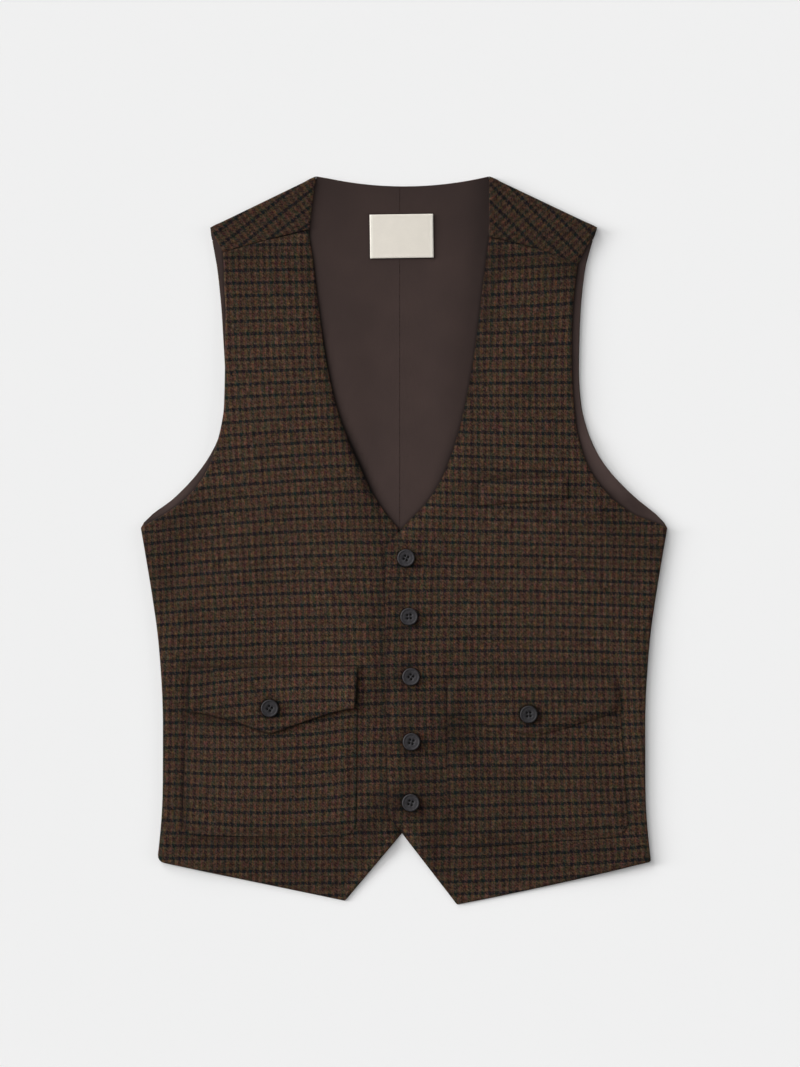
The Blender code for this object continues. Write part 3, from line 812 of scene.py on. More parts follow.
FRONT_CREASES = crease_table(
    (-188, 356, 40, 9, 38, 0.8, 4),
    (-206, 318, 46, 11, 18, -0.9, 3),
    (-150, 372, 60, 12, -64, 0.6, -6),
    (-92, 352, 55, 13, -70, -0.5, 5),
    (-64, 470, 90, 15, 12, 0.5, -6),
    (-132, 540, 52, 12, -12, -0.5, 4),
    (-40, 262, 48, 9, -52, 0.45, 3),
    (-96, 248, 60, 16, 78, -0.5, 4),
    (-205, 236, 60, 8, 4, 0.6, 2),
    (-60, 84, 46, 11, -42, -0.9, -4),
    (-140, 46, 50, 10, 80, 0.4, 3),
    (186, 352, 44, 9, -34, 0.8, -4),
    (205, 312, 52, 11, -14, -0.9, -3),
    (140, 346, 58, 12, 62, 0.6, 5),
    (84, 330, 44, 12, 72, -0.45, -4),
    (98, 452, 76, 14, -16, 0.6, 6),
    (136, 512, 60, 11, 10, -0.6, -4),
    (56, 410, 66, 12, -22, 0.45, 4),
    (44, 238, 50, 10, 48, 0.45, -3),
    (104, 236, 58, 14, -80, -0.5, -4),
    (206, 226, 58, 8, -5, 0.6, -2),
    (104, 94, 48, 9, 8, -0.7, 3),
    (50, 70, 44, 12, 30, -0.7, 4),
    (150, 44, 46, 10, -78, 0.4, -3),
    (20, 232, 18, 7, 80, 0.3, 0),
    (22, 178, 20, 7, 74, -0.3, 0),
    (24, 120, 18, 7, 60, 0.3, 0),
)
# Patches of painted shade on the linings: each rise is the share of light taken away, and a negative one is
# painted light.
LINING_PAINTED_SHADES = crease_table(
    (0, 680, 400, 80, 90, 0.255),
    (0, 530, 400, 70, 90, 0.02),
    (0, 390, 400, 60, 90, -0.03),
    (69.6, 566, 150, 15, 6.7, 0.31, -4.5),
    (172, 430, 60, 14, -28, -0.26),
    (200, 370, 24, 5, 119, 0.3),
    (-163, 456, 60, 12, 10, -0.28),
    (-198, 384, 36, 10, 48, -0.24),
    (-45, 460, 170, 30, -8, 0.08),
    (20, 500, 150, 22, 0, -0.06),
)
# Patches of painted shade on the fronts, pockets and flaps: each rise is the share of light taken away, and
# a negative one is painted light.
FRONT_PAINTED_SHADES = crease_table(
    (-217, 322, 50, 30, 24, 0.22),
    (-190, 366, 26, 16, 30, 0.14),
    (-207, 126, 90, 22, 0, 0.13),
    (-123, 38, 110, 22, 80, 0.14),
    (-20, 236, 70, 14, 0, 0.15),
    (-24, 160, 44, 11, 0, 0.08),
    (-34, 85, 24, 10, 20, 0.2),
    (-52, 196, 14, 7, 0, -0.15),
    (-88, 190, 20, 16, 0, -0.08),
    (-118, 575, 60, 50, 90, 0.05),
    (-46.8, 413.5, 66, 3.2, -20, 0.6, 3.9),
    (152, 84, 36, 13, 0, -0.1),
    (194, 110, 48, 5, 0, -0.24),
    (180, 60, 26, 7, 86, 0.07),
    (178, 386, 30, 12, -36, -0.1),
    (41, 204, 10, 6, 0, 0.2),
    (68, 192, 34, 5, 88, -0.08),
    (74, 264, 34, 8, 92, -0.08),
    (-108, 288, 66, 36, 10, -0.05),
    (-78, 80, 38, 20, 0, -0.07),
    (-150, 168, 50, 8, 98, 0.1),
    (68, 158, 30, 6, 102, 0.14),
    (163, 560, 60, 6, -3, 0.2),
    (-28, 37, 46, 5, 40, -0.42),
    (85, 9, 44, 4, 77, -0.25),
    (-205, 36, 24, 4, 103, -0.2),
    (-148, 219, 54, 8, 92, 0.2),
    (-191, 207, 12, 8, 0, 0.16),
    (-160, 598, 62, 13, 86, 0.22),
    (-95, 580, 60, 16, 80, 0.08),
    (-57, 150, 60, 7, 0, -0.12),
    (-45, 82, 16, 8, 0, -0.12),
    (-48, 148, 54, 5, 0, -0.14),
    (-16, 90, 36, 12, 35, 0.26),
    (-48, 30, 30, 16, 34, 0.13),
    (-2, 148, 14, 12, 0, 0.2),
    (2, 92, 12, 10, 0, 0.14),
    (-172, 598, 34, 7, -6, 0.35),
    (-30, 352, 44, 12, -32, 0.16),
    (-6, 282, 44, 11, 0, 0.16),
    (-207, 240, 60, 20, 0, 0.1),
    (-110, 240, 60, 14, 88, 0.06),
    (-170, 166, 40, 6, 104, 0.15),
    (-140, 60, 70, 5, 89, 0.22),
    (-166, 56, 50, 9, 88, 0.12),
    (150, 50, 74, 8, 93, 0.2),
    (-203, 105, 44, 3.5, -2, 0.25),
    (4, 148, 10, 8, 0, 0.2),
    (0, 91, 12, 10, 0, 0.26),
    (24, 76, 20, 12, -30, 0.14),
    (36, 28, 30, 14, -36, 0.12),
    (-88, 22, 30, 12, 103, 0.12),
    (161, 524, 12, 6, 0, 0.2),
    (126, 376, 30, 8, 90, 0.1),
    (0, 213, 20, 8, 30, 0.24),
    (18, 206, 9, 7, 0, -0.22),
    (68, 134, 44, 12, -40, 0.16),
    (110, 90, 34, 9, -5, 0.1),
    (65, 375, 10, 6, 0, 0.26),
    (82, 354, 20, 10, 0, -0.13),
    (14, 150, 70, 16, 0, 0.13),
    (71, 522, 100, 10, 10, 0.3, -6),
    (112, 590, 62, 15, 97, 0.22),
    (152, 572, 34, 9, -8, 0.14),
    (110, 385, 48, 10, 93, 0.4),
    (203, 342, 46, 20, -35, 0.19),
    (43, 168, 32, 14, 0, 0.3),
    (36, 96, 40, 18, -30, 0.14),
    (112, 32, 116, 22, 100, 0.14),
    (150, 215, 74, 9, 90, 0.23),
    (206, 186, 56, 10, 0, -0.2),
    (26, 342, 18, 9, 0, -0.15),
    (-118, 430, 90, 60, 0, -0.04),
)
LINING_CREASES = crease_table(
    (-44, 520, 90, 14, 4, 0.2, 3),
    (-24, 440, 80, 12, -6, -0.2, 2),
    (22, 540, 70, 12, -3, -0.15, -3),
    (34, 470, 90, 12, -10, 0.15, 3),
    (54, 560, 70, 12, -4, -0.2, 3),
    (188, 396, 52, 6, -35, 1.2, 0),
    (176, 428, 12, 4, 58, 0.2, 1),
    (193, 398, 12, 4, 50, -0.25, 1),
    (206, 377, 12, 4, 40, 0.25, -1),
    (-188, 396, 52, 5, 35, 0.5, 0),
    (-180, 412, 12, 4, -55, 0.2, 1),
    (-200, 384, 12, 4, -44, -0.2, 1),
)
BACK_CREASES = crease_table(
    (188, 396, 52, 7, -35, 1.2, 0),
    (-188, 396, 52, 7, 35, 0.5, 0),
)


def creased(creases: Sequence[Crease], x: Numbers, height: Numbers) -> Numbers:
    """The rise of a set of creases at points of the drawing.

    Args:
        creases: The creases.
        x: Places across the drawing.
        height: Places up it.

    Returns:
        Their rise together.
    """
    total = np.zeros_like(x)
    for crease in creases:
        lean = radians(crease.lean)
        along = ((height - crease.height) * cos(lean) + (x - crease.x) * sin(lean)) / crease.reach
        across = (x - crease.x) * cos(lean) - (height - crease.height) * sin(lean)
        off = across - crease.bend * along * along
        total += crease.rise * hump(off, crease.width) * np.exp(-(along**4))
    return total


@dataclass(frozen=True)
class PaintedShadow:
    """A piece that lies on another, and the shadow painted on that other beside its edge.

    Attributes:
        node: The piece.
        depth: How much darker the painted shadow makes the cloth at the edge.
        width: How far the painted shadow spreads, in millimetres.
        fade: How far up from its foot the painted shadow grows to full, or 0.
        about: Where the painted shadow is darkest, if not all along.
        spread: How far the painted shadow runs from there, in millimetres.
    """

    node: str
    depth: float = 0.45
    width: float = 1.2
    fade: float = 0.0
    about: Point | None = None
    spread: float = 40.0

    def depth_at(self, x: Numbers, height: Numbers, outline: Sequence[Vector]) -> Numbers:
        """How much darker the painted shadow makes the cloth at its edge, at points of the drawing.

        Args:
            x: Places across the drawing.
            height: Places up it.
            outline: The outline of what lies on the cloth.

        Returns:
            How much darker the painted shadow makes it, as a share.
        """
        depth = self.depth * raised_share(height, outline, self.fade)
        if self.about:
            depth = depth * hump(np.hypot(x - self.about[0], height - self.about[1]), self.spread)
        return depth


def painted_shadows(*nodes: str) -> tuple[PaintedShadow, ...]:
    """Painted shadows of the usual depth and width beside the edges of pieces."""
    return tuple(PaintedShadow(node, 0.3, 1.1) for node in nodes)


# Reading the frame.


SAME_POINT = 0.01
UPWARD = 0.2
DOWN = Vector((0.0, 0.0, -1.0))
UP = Vector((0.0, 0.0, 1.0))
ABOVE = 50.0
BELOW = -5.0
FAR_BELOW = -200.0


def node_mesh(node: str) -> Mesh:
    """A merged copy of a node's mesh, in the drawing space.

    Args:
        node: The node.

    Returns:
        The mesh.
    """
    bm = bmesh.new()
    bm.from_mesh(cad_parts[node].data)
    for vert in bm.verts:
        vert.co = drawn(vert.co)
    bmesh.ops.remove_doubles(bm, verts=bm.verts[:], dist=SAME_POINT)
    bm.normal_update()
    return bm


def node_outline(node: str) -> list[Vector]:
    """The outline of a node's upper face, in order.

    Args:
        node: The node.

    Returns:
        The points of the outline.
    """
    bm = node_mesh(node)
    walls = [face for face in bm.faces if face.normal.z < UPWARD]
    bmesh.ops.delete(bm, geom=walls, context="FACES")
    rim = {edge for edge in bm.edges if len(edge.link_faces) == 1}
    start = next(iter(sorted(rim, key=lambda edge: edge.verts[0].co.y))).verts[0]
    outline = [start]
    before = None
    while True:
        here = outline[-1]
        ways = [edge for edge in here.link_edges if edge in rim and edge is not before]
        before = ways[0]
        after = before.other_vert(here)
        if after is start:
            break
        outline.append(after)
    points = [vert.co.xy.copy() for vert in outline]
    bm.free()
    return points


def sides_of(outline: Sequence[Vector]) -> list[tuple[Vector, Vector]]:
    """The sides of a closed outline, each as its two ends."""
    return list(zip(outline, [*outline[1:], outline[0]]))


def reach_of(outline: Sequence[Vector], axis: int) -> Point:
    """The least and the greatest x of an outline, or height where the axis is 1."""
    places = [point[axis] for point in outline]
    return min(places), max(places)


def turning(before: Vector, here: Vector, after: Vector) -> float:
    """How far a path turns at a point, in degrees."""
    return degrees((here - before).angle(after - here))


@dataclass(frozen=True)
class Rounding:
    """A corner of the garment that is rounded, with its radius, in millimetres."""

    x: float
    height: float
    radius: float
    near: ClassVar[float] = 6.0

    def rounds(self, point: Vector) -> bool:
        """Whether a point is the corner."""
        return (Vector((self.x, self.height)) - point).length < self.near


ROUNDINGS = (
    Rounding(-224.0, 40.0, 7.0),
    Rounding(226.0, 40.0, 2.0),
    Rounding(-56.0, 1.0, 2.0),
    Rounding(46.0, 0.0, 2.0),
)


def rounded(before: Vector, point: Vector, after: Vector, radius: float) -> list[Vector]:
    """A corner turned into an arc.

    Args:
        before: The point before the corner.
        point: The corner.
        after: The point after it.
        radius: The radius of the arc.

    Returns:
        The points of the arc.
    """
    come = (point - before).normalized()
    leave = (after - point).normalized()
    turn = come.angle_signed(leave)
    start = point - come * radius * abs(tan(turn / 2.0))
    side = Vector((-come.y, come.x)) * (-1.0 if turn > 0.0 else 1.0) * radius
    middle = start + side
    return [middle - Matrix.Rotation(-turn * share, 2) @ side for share in (0.0, 0.25, 0.5, 0.75, 1.0)]


def smoothed(
    points: list[Vector], step: float, corner: float = 28.0, straight: float = 0.2
) -> list[Vector]:
    """A closed outline drawn through points on smooth curves, sharp only at its corners.

    Args:
        points: The points, in order.
        step: About how far apart the new points are.
        corner: How many degrees the path turns, at least, at a sharp corner.
        straight: How many it turns, at most, at a point that isn't needed.

    Returns:
        The new points.
    """
    around = len(points)
    kept = []
    for index, point in enumerate(points):
        before = points[index - 1]
        after = points[(index + 1) % around]
        turn = turning(before, point, after)
        radii = [rounding.radius for rounding in ROUNDINGS if rounding.rounds(point)]
        if turn > corner and radii:
            kept.extend((spot, False) for spot in rounded(before, point, after, radii[0]))
        elif turn > straight:
            kept.append((point, turn > corner))
    path = []
    for index, (start, start_sharp) in enumerate(kept):
        before = kept[index - 1][0]
        end, end_sharp = kept[(index + 1) % len(kept)]
        after = kept[(index + 2) % len(kept)][0]
        span = (end - start).length
        way = (end - start) / span
        leave = way if start_sharp else (end - before) / (span + (start - before).length)
        arrive = way if end_sharp else (after - start) / (span + (after - end).length)
        pieces = max(1, round(span / step))
        for piece in range(pieces):
            t = piece / pieces
            path.append(
                start * (2 * t**3 - 3 * t**2 + 1)
                + leave * span * (t**3 - 2 * t**2 + t)
                + end * (3 * t**2 - 2 * t**3)
                + arrive * span * (t**3 - t**2)
            )
    return path


def from_edge(x: Numbers, height: Numbers, outline: Sequence[Vector]) -> Numbers:
    """How far points of the drawing lie from an outline.

    Args:
        x: Places across the drawing.
        height: Places up it.
        outline: The outline.

    Returns:
        How far off each is.
    """
    nearest = np.full(x.shape, 1e9)
    for start, end in sides_of(outline):
        way = end - start
        share = ((x - start.x) * way.x + (height - start.y) * way.y) / way.length_squared
        share = np.clip(share, 0.0, 1.0)
        off = np.hypot(x - start.x - way.x * share, height - start.y - way.y * share)
        nearest = np.minimum(nearest, off)
    return nearest


def within(x: Numbers, height: Numbers, outline: Sequence[Vector]) -> Numbers:
    """Which points of the drawing lie inside an outline.

    Args:
        x: Places across the drawing.
        height: Places up it.
        outline: The outline.

    Returns:
        Whether each is inside.
    """
    inside = np.zeros(x.shape, dtype=bool)
    for start, end in sides_of(outline):
        if start.y != end.y:
            crossed = (start.y > height) != (end.y > height)
            inside ^= crossed & (x < start.x + (end.x - start.x) * (height - start.y) / (end.y - start.y))
    return inside


def insert_point(outline: list[Vector], point: Vector) -> None:
    """Put a point into an outline, between the two points that it lies nearest to.

    Args:
        outline: The outline.
        point: The point.
    """
    here = (np.array(point.x), np.array(point.y))
    off = [float(from_edge(*here, side)) for side in sides_of(outline)]
    outline.insert(off.index(min(off)) + 1, point)


FOOT_SHARE = 0.28


def raised_share(height: Numbers, outline: Sequence[Vector], fade: float) -> Numbers:
    """How plain an outline is: 1 above its foot, and little along it.

    Args:
        height: Places up the drawing.
        outline: The outline.
        fade: How far up from its foot it is faint, or 0.

    Returns:
        The shares.
    """
    if not fade:
        return np.ones_like(height)
    foot, _ = reach_of(outline, 1)
    return FOOT_SHARE + (1.0 - FOOT_SHARE) * ease((height - foot) / fade)


class Levels:
    """Levels over a grid of the drawing, softened, and read between its lines."""

    step = 4.0
    margin = 16.0

    def __init__(
        self, outline: Sequence[Vector], read: Callable[[float, float], float], soften: float
    ) -> None:
        """Read the levels.

        Args:
            outline: What the grid spans.
            read: The level at an x and a height.
            soften: How far a facet's edge is spread, in millimetres.
        """
        spans = [reach_of(outline, axis) for axis in (0, 1)]
        self.x0, self.y0 = (low - self.margin for low, _ in spans)
        wide, tall = (int((high - low + 2.0 * self.margin) / self.step) + 2 for low, high in spans)
        rows = []
        for row in range(tall):
            height = self.y0 + row * self.step
            rows.append([read(self.x0 + column * self.step, height) for column in range(wide)])
        self.grid = self.spread(np.array(rows), soften / self.step)

    @staticmethod
    def spread(grid: Numbers, sigma: float) -> Numbers:
        """Soften a grid both ways.

        Args:
            grid: The grid.
            sigma: How far it is spread, in cells.

        Returns:
            The softened grid.
        """
        if sigma <= 0.0:
            return grid
        reach = max(1, int(3.0 * sigma))
        weights = np.exp(-0.5 * (np.arange(-reach, reach + 1) / sigma) ** 2)
        weights /= weights.sum()
        for axis in (0, 1):
            widths = [(reach, reach) if number == axis else (0, 0) for number in (0, 1)]
            padded = np.pad(grid, widths, mode="edge")
            grid = np.apply_along_axis(lambda line: np.convolve(line, weights, mode="valid"), axis, padded)
        return grid

    def at(self, x: Numbers, height: Numbers) -> Numbers:
        """The level at points of the drawing.

        Args:
            x: Places across the drawing.
            height: Places up it.

        Returns:
            The levels.
        """
        across = np.clip((x - self.x0) / self.step, 0.0, self.grid.shape[1] - 1.001)
        up = np.clip((height - self.y0) / self.step, 0.0, self.grid.shape[0] - 1.001)
        column = across.astype(int)
        row = up.astype(int)
        right = across - column
        top = up - row
        low = self.grid[row, column] * (1 - right) + self.grid[row, column + 1] * right
        high = self.grid[row + 1, column] * (1 - right) + self.grid[row + 1, column + 1] * right
        return low * (1 - top) + high * top


def solid_tree(node: str) -> BVHTree:
    """A node's faces, ready for casting onto.

    Args:
        node: The node.

    Returns:
        The tree.
    """
    bm = node_mesh(node)
    tree = BVHTree.FromBMesh(bm)
    bm.free()
    return tree


def underside(tree: BVHTree) -> Callable[[float, float], float]:
    """A reader of the underside of a solid, which goes on level past its edge.

    Args:
        tree: The solid's faces.

    Returns:
        The reader, which takes an x and a height.
    """

    def read(x: float, height: float) -> float:
        """The level at an x and a height.

        Args:
            x: The place across the drawing.
            height: The place up it.

        Returns:
            The level.
        """
        hit = tree.ray_cast(Vector((x, height, BELOW)), UP)[0]
        if hit is None:
            near = tree.find_nearest(Vector((x, height, FAR_BELOW)))[0]
            hit = tree.ray_cast(Vector((near.x, near.y, BELOW)), UP)[0] or near
        return hit.z

    return read


# Making a mesh.


SNAPS_PER_CELL = 20.0


def make_object(name: str, bm: Mesh, finish: Finish) -> bpy.types.Object:
    """Turn a mesh of the drawing space into a named object that rides on the garment.

    Args:
        name: The object's name.
        bm: The mesh, which is used up.
        finish: Its finish.

    Returns:
        The object.
    """
    for vert in bm.verts:
        vert.co = framed(vert.co)
    mesh = bpy.data.meshes.new(name)
    bm.to_mesh(mesh)
    bm.free()
    mesh.materials.append(finish.material())
    mesh.shade_smooth()
    made = bpy.data.objects.new(name, mesh)
    bpy.context.collection.objects.link(made)
    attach(made, ROOT)
    finish.slot
    return made


def cut_lines(bm: Mesh, cell: float) -> None:
    """Cut a flat mesh along lines a cell apart, both ways.

    Args:
        bm: The mesh.
        cell: How far apart the lines are.
    """
    for axis, normal in enumerate((Vector((1.0, 0.0, 0.0)), Vector((0.0, 1.0, 0.0)))):
        low, high = reach_of([vert.co for vert in bm.verts], axis)
        for line in range(int(low // cell) + 1, int(high // cell) + 1):
            geom = [*bm.verts, *bm.edges, *bm.faces]
            spot = normal * (line * cell)
            snap = cell / SNAPS_PER_CELL
            bmesh.ops.bisect_plane(bm, geom=geom, dist=snap, plane_co=spot, plane_no=normal)


def flat_face(bm: Mesh, outline: Sequence[Vector]) -> bmesh.types.BMFace:
    """Lay an outline in the flat, as one face.

    Args:
        bm: The mesh.
        outline: The outline.

    Returns:
        The face.
    """
    face = bm.faces.new([bm.verts.new((point.x, point.y, 0.0)) for point in outline])
    bm.normal_update()
    return face


def inset(bm: Mesh, face: bmesh.types.BMFace, width: float) -> None:
    """Move a face's edge in, and leave a ring of faces about it."""
    bmesh.ops.inset_region(bm, faces=[face], thickness=width, use_even_offset=True, use_boundary=True)


def spots_of(bm: Mesh) -> tuple[Numbers, Numbers]:
    """Where a mesh's points are, across the drawing and up it."""
    return np.array([vert.co.x for vert in bm.verts]), np.array([vert.co.y for vert in bm.verts])


def dye_points(bm: Mesh, grain: Sequence[Point], painted_shades_and_tones: Sequence[float]) -> None:
    """Give a mesh its grain map and its map of painted shade and tone.

    Args:
        bm: The mesh.
        grain: The place of each of its points across and along the cloth.
        painted_shades_and_tones: How much light each of its points keeps under painted shade, or its tone.
    """
    painted_shade_and_tone_layer = bm.verts.layers.float.new(PAINTED_SHADE_AND_TONE_MAP)
    grain_layer = bm.loops.layers.uv.new(GRAIN_MAP)
    bm.verts.index_update()
    for vert, tone in zip(bm.verts, painted_shades_and_tones):
        vert[painted_shade_and_tone_layer] = tone
    for face in bm.faces:
        for loop in face.loops:
            loop[grain_layer].uv = grain[loop.vert.index]


def add_bead(
    bm: Mesh, place: Vector, turn: Matrix, size: tuple[float, ...], sides: tuple[int, int]
) -> None:
    """Add a drawn-out ball.

    Args:
        bm: The mesh that it joins.
        place: Its middle.
        turn: How it is turned.
        size: Its length, width and depth.
        sides: How many sides it has, round it and from end to end.
    """
    shape = Matrix.Translation(place) @ turn @ Matrix.Diagonal((*size, 1.0))
    bmesh.ops.create_uvsphere(bm, u_segments=sides[0], v_segments=sides[1], radius=0.5, matrix=shape)


@dataclass
class Panel:
    """A flat-cut piece of cloth with a wall, laid on its solid's level.

    Attributes:
        node: The solid that it stands for.
        finish: Its finish.
        grain: How its weave runs.
        lower: The pieces that it lies on.
        creases: Its creases.
        cell: The size of the cells inside it.
        soften: How far the facets of the solid are smoothed out.
        roll: The width of the roll at its edge.
        press: How far inside its edge the iron has pressed it down and thinned it, or 0.
        thin: What the iron has left of its wall at the edge, as a share.
        painted_shadows: The painted shadows beside the edges of what lies on it.
        painted_shades: Its patches of painted shade, each rise being a share; a negative rise is painted
            light.
        tone: A painted shade over the whole piece, as the share of light it keeps.
        painted_rim_shade: How much darker painted shade makes its very edge.
        butt: How far its edge at the centre back is let out to meet its neighbour's.
        let_out: Further points of its outline, where it is let out to a corner.
        seam_ridge: How far the turned-in cloth lifts it beside its edge.
        stitch_inset: How far a row of stitches lies inside its edge, or 0.
        stitch_sink: How deep the stitches pull it.
        middle_gap: How near the centre back an edge lies to count as its.
        stitch_width: Half the width of the furrow that the stitches pull.
        thinnest: What is left, at least, of a pressed edge's wall once it is rolled, as a share.
        squarest: What is left, at least, of the square of the roll's height, as a share.
        roll_rings: The widths of the rings of points in its roll, as shares of it.
        fine_painted_shadow: How wide a painted shadow is, at most, for the mesh to be cut finer beside it.
        fine_reaches: How near the edge that casts such a painted shadow it is cut finer, and finer again.
        fine_edge: The length of the shortest edge that is cut.
        fold_angle: How sharply two faces meet, at least, for their edge to be sharp.
    """

    node: str
    finish: Finish
    grain: StraightGrain | FrontGrain | PatchGrain
    lower: tuple["Panel", ...] = ()
    creases: tuple[Crease, ...] = ()
    cell: float = 3.6
    soften: float = 8.0
    roll: float = 1.2
    press: float = 0.0
    thin: float = 0.4
    painted_shadows: tuple[PaintedShadow, ...] = ()
    painted_shades: tuple[Crease, ...] = ()
    tone: float = 1.0
    painted_rim_shade: float = 0.5
    butt: float = 0.0
    let_out: tuple[Point, ...] = ()
    seam_ridge: float = 0.0
    stitch_inset: float = 0.0
    stitch_sink: float = 0.3
    air: ClassVar[float] = 0.12
    middle_gap: ClassVar[float] = 1.0
    rim_width: ClassVar[float] = 0.8
    stitch_width: ClassVar[float] = 0.8
    ridge_inset: ClassVar[float] = 4.5
    ridge_width: ClassVar[float] = 3.0
    thinnest: ClassVar[float] = 0.4
    squarest: ClassVar[float] = 0.03
    painted_shade_limits: ClassVar[Point] = (0.1, 1.6)
    roll_rings: ClassVar[tuple[float, ...]] = (0.12, 0.28, 0.6)
    fine_painted_shadow: ClassVar[float] = 3.0
    fine_reaches: ClassVar[Point] = (4.5, 2.6)
    fine_edge: ClassVar[float] = 1.2
    fold_angle: ClassVar[float] = 50.0
    outline: list[Vector] = field(init=False)
    painted_shadow_outlines: list[tuple[PaintedShadow, list[Vector]]] = field(init=False)
    under_levels: Levels = field(init=False)
    wall: float = field(init=False)

    def __post_init__(self) -> None:
        """Read the outline, the wall and the levels."""
        solid = node_outline(self.node)
        for point in self.let_out:
            insert_point(solid, Vector(point))
        self.outline = smoothed(solid, self.cell)
        for point in self.outline:
            if abs(point.x) < self.middle_gap:
                point.x -= self.butt if point.x > 0.0 else -self.butt
        self.painted_shadow_outlines = [
            (painted_shadow, smoothed(node_outline(painted_shadow.node), self.cell)) for painted_shadow in self.painted_shadows
        ]
        tree = solid_tree(self.node)
        read = underside(tree)
        self.under_levels = Levels(solid, read, self.soften)
        middle = self.inside_point(tree)
        top = tree.ray_cast(Vector((*middle, ABOVE)), DOWN)[0]
        self.wall = top.z - read(*middle)

    def inside_point(self, tree: BVHTree) -> Point:
        """The middle of the piece, or the nearest place on its solid.

        Args:
            tree: The solid's faces.

        Returns:
            Its place across the drawing and up it.
        """
        low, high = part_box(self.node)
        middle = drawn((low + high) / 2.0)
        if tree.ray_cast(Vector((middle.x, middle.y, ABOVE)), DOWN)[0] is not None:
            return middle.x, middle.y
        near = tree.find_nearest(middle)[0]
        return near.x, near.y

    def faces_at(self, x: Numbers, height: Numbers) -> tuple[Numbers, Numbers]:
        """The levels of the two faces of the cloth.

        Args:
            x: Places across the drawing.
            height: Places up it.

        Returns:
            The levels of the underside and of the upper side.
        """
        inside = from_edge(x, height, self.outline)
        rest = self.rest_at(x, height)
        under = np.maximum(self.under_levels.at(x, height) + creased(self.creases, x, height), rest)
        fullness = np.ones_like(inside)
        if self.roll:
            round_off = 1.0 - np.clip(inside / self.roll, 0.0, 1.0)
            fullness = np.sqrt(np.maximum(1.0 - round_off**2, self.squarest))
        if self.press:
            share = np.maximum(ease(inside / self.press), self.unpressed(x, height))
            under = rest + (under - rest) * share
            thin = self.thin_at(x, height)
            thick = self.wall * (thin + (1.0 - thin) * share)
            full = np.maximum(fullness, self.thinnest)
            return under, under + full * thick + self.relief(x, height, inside)
        middle = under + self.wall / 2.0
        top = middle + fullness * self.wall / 2.0 + self.relief(x, height, inside)
        return np.maximum(middle - fullness * self.wall / 2.0, 0.0), top

    def unpressed(self, x: Numbers, height: Numbers) -> Numbers:
        """Where the iron has left its edge alone, as 1, and where it hasn't, as 0."""
        return np.zeros_like(x)

    def rest_at(self, x: Numbers, height: Numbers) -> Numbers:
        """The level of what it lies on, and a little air.

        Args:
            x: Places across the drawing.
            height: Places up it.

        Returns:
            The levels.
        """
        rest = np.zeros_like(x)
        for panel in self.lower:
            _, top = panel.faces_at(x, height)
            rest = np.where(within(x, height, panel.outline), np.maximum(rest, top + self.air), rest)
        return rest

    def relief(self, x: Numbers, height: Numbers, inside: Numbers) -> Numbers:
        """The low relief of the upper side: the lift beside the edge and the pull of the stitches.

        Args:
            x: Places across the drawing.
            height: Places up it.
            inside: How far inside the edge they are.

        Returns:
            How far the relief rises.
        """
        relief = self.seam_ridge * hump(inside - self.ridge_inset, self.ridge_width)
        if self.stitch_inset:
            furrow = hump(inside - self.stitch_inset, self.stitch_width)
            relief = relief - self.stitch_sink * furrow * self.sewn(x, height)
        return relief

    def sewn(self, x: Numbers, height: Numbers) -> Numbers:
        """Where the row of stitches runs, as 1, and where it doesn't, as 0."""
        return np.ones_like(x)

    def painted_shade_at(self, x: Numbers, height: Numbers) -> Numbers:
        """The painted shade and light of the cloth at points of the drawing: its own painted shade, its
        patches of painted shade and light, painted shade along its rim, and painted shadows beside what
        lies on it.

        Args:
            x: Places across the drawing.
            height: Places up it.

        Returns:
            The light that painted shade leaves, 1 being the finish's own.
        """
        # The piece's own painted shade, and its patches of painted shade and light.
        tone = self.tone * (1.0 - creased(self.painted_shades, x, height))
        # Painted shade along the rim.
        rim = hump(from_edge(x, height, self.outline), self.rim_width)
        tone = tone * (1.0 - self.rim_at(x, height) * rim)
        # Painted shadows beside the edges of what lies on it.
        for painted_shadow, outline in self.painted_shadow_outlines:
            depth = painted_shadow.depth_at(x, height, outline)
            tone = tone * (1.0 - depth * hump(from_edge(x, height, outline), painted_shadow.width))
        return np.clip(tone, *self.painted_shade_limits)

    def rim_at(self, x: Numbers, height: Numbers) -> Numbers:
        """How much darker painted shade makes its very edge at points of the drawing."""
        return self.painted_rim_shade * np.ones_like(x)

    def thin_at(self, x: Numbers, height: Numbers) -> Numbers:
        """What the iron has left of its wall at its edge."""
        return self.thin * np.ones_like(x)

    def refine(self, bm: Mesh) -> None:
        """Cut the flat mesh finer beside the edges of what lies on it, where narrow painted shadows fall.

        Args:
            bm: The mesh.
        """
        narrow = [outline for painted_shadow, outline in self.painted_shadow_outlines if painted_shadow.width < self.fine_painted_shadow]
        for reach in self.fine_reaches:
            faces = bm.faces[:]
            middles = [face.calc_center_median() for face in faces]
            x = np.array([middle.x for middle in middles])
            height = np.array([middle.y for middle in middles])
            near = np.zeros(len(faces), dtype=bool)
            for outline in narrow:
                near |= from_edge(x, height, outline) < reach
            chosen = [edge for face, picked in zip(faces, near) if picked for edge in face.edges]
            edges = [edge for edge in dict.fromkeys(chosen) if edge.calc_length() > self.fine_edge]
            bmesh.ops.subdivide_edges(bm, edges=edges, cuts=1, use_grid_fill=True)

    def rims(self) -> list[float]:
        """How far inside the edge the rings of points lie, from one to the next.

        Returns:
            The width of each ring.
        """
        widths = [self.roll * share for share in self.roll_rings] if self.roll else []
        if self.stitch_inset:
            first = self.stitch_inset - self.stitch_width
            widths += [first - sum(widths), self.stitch_width, self.stitch_width]
        return widths

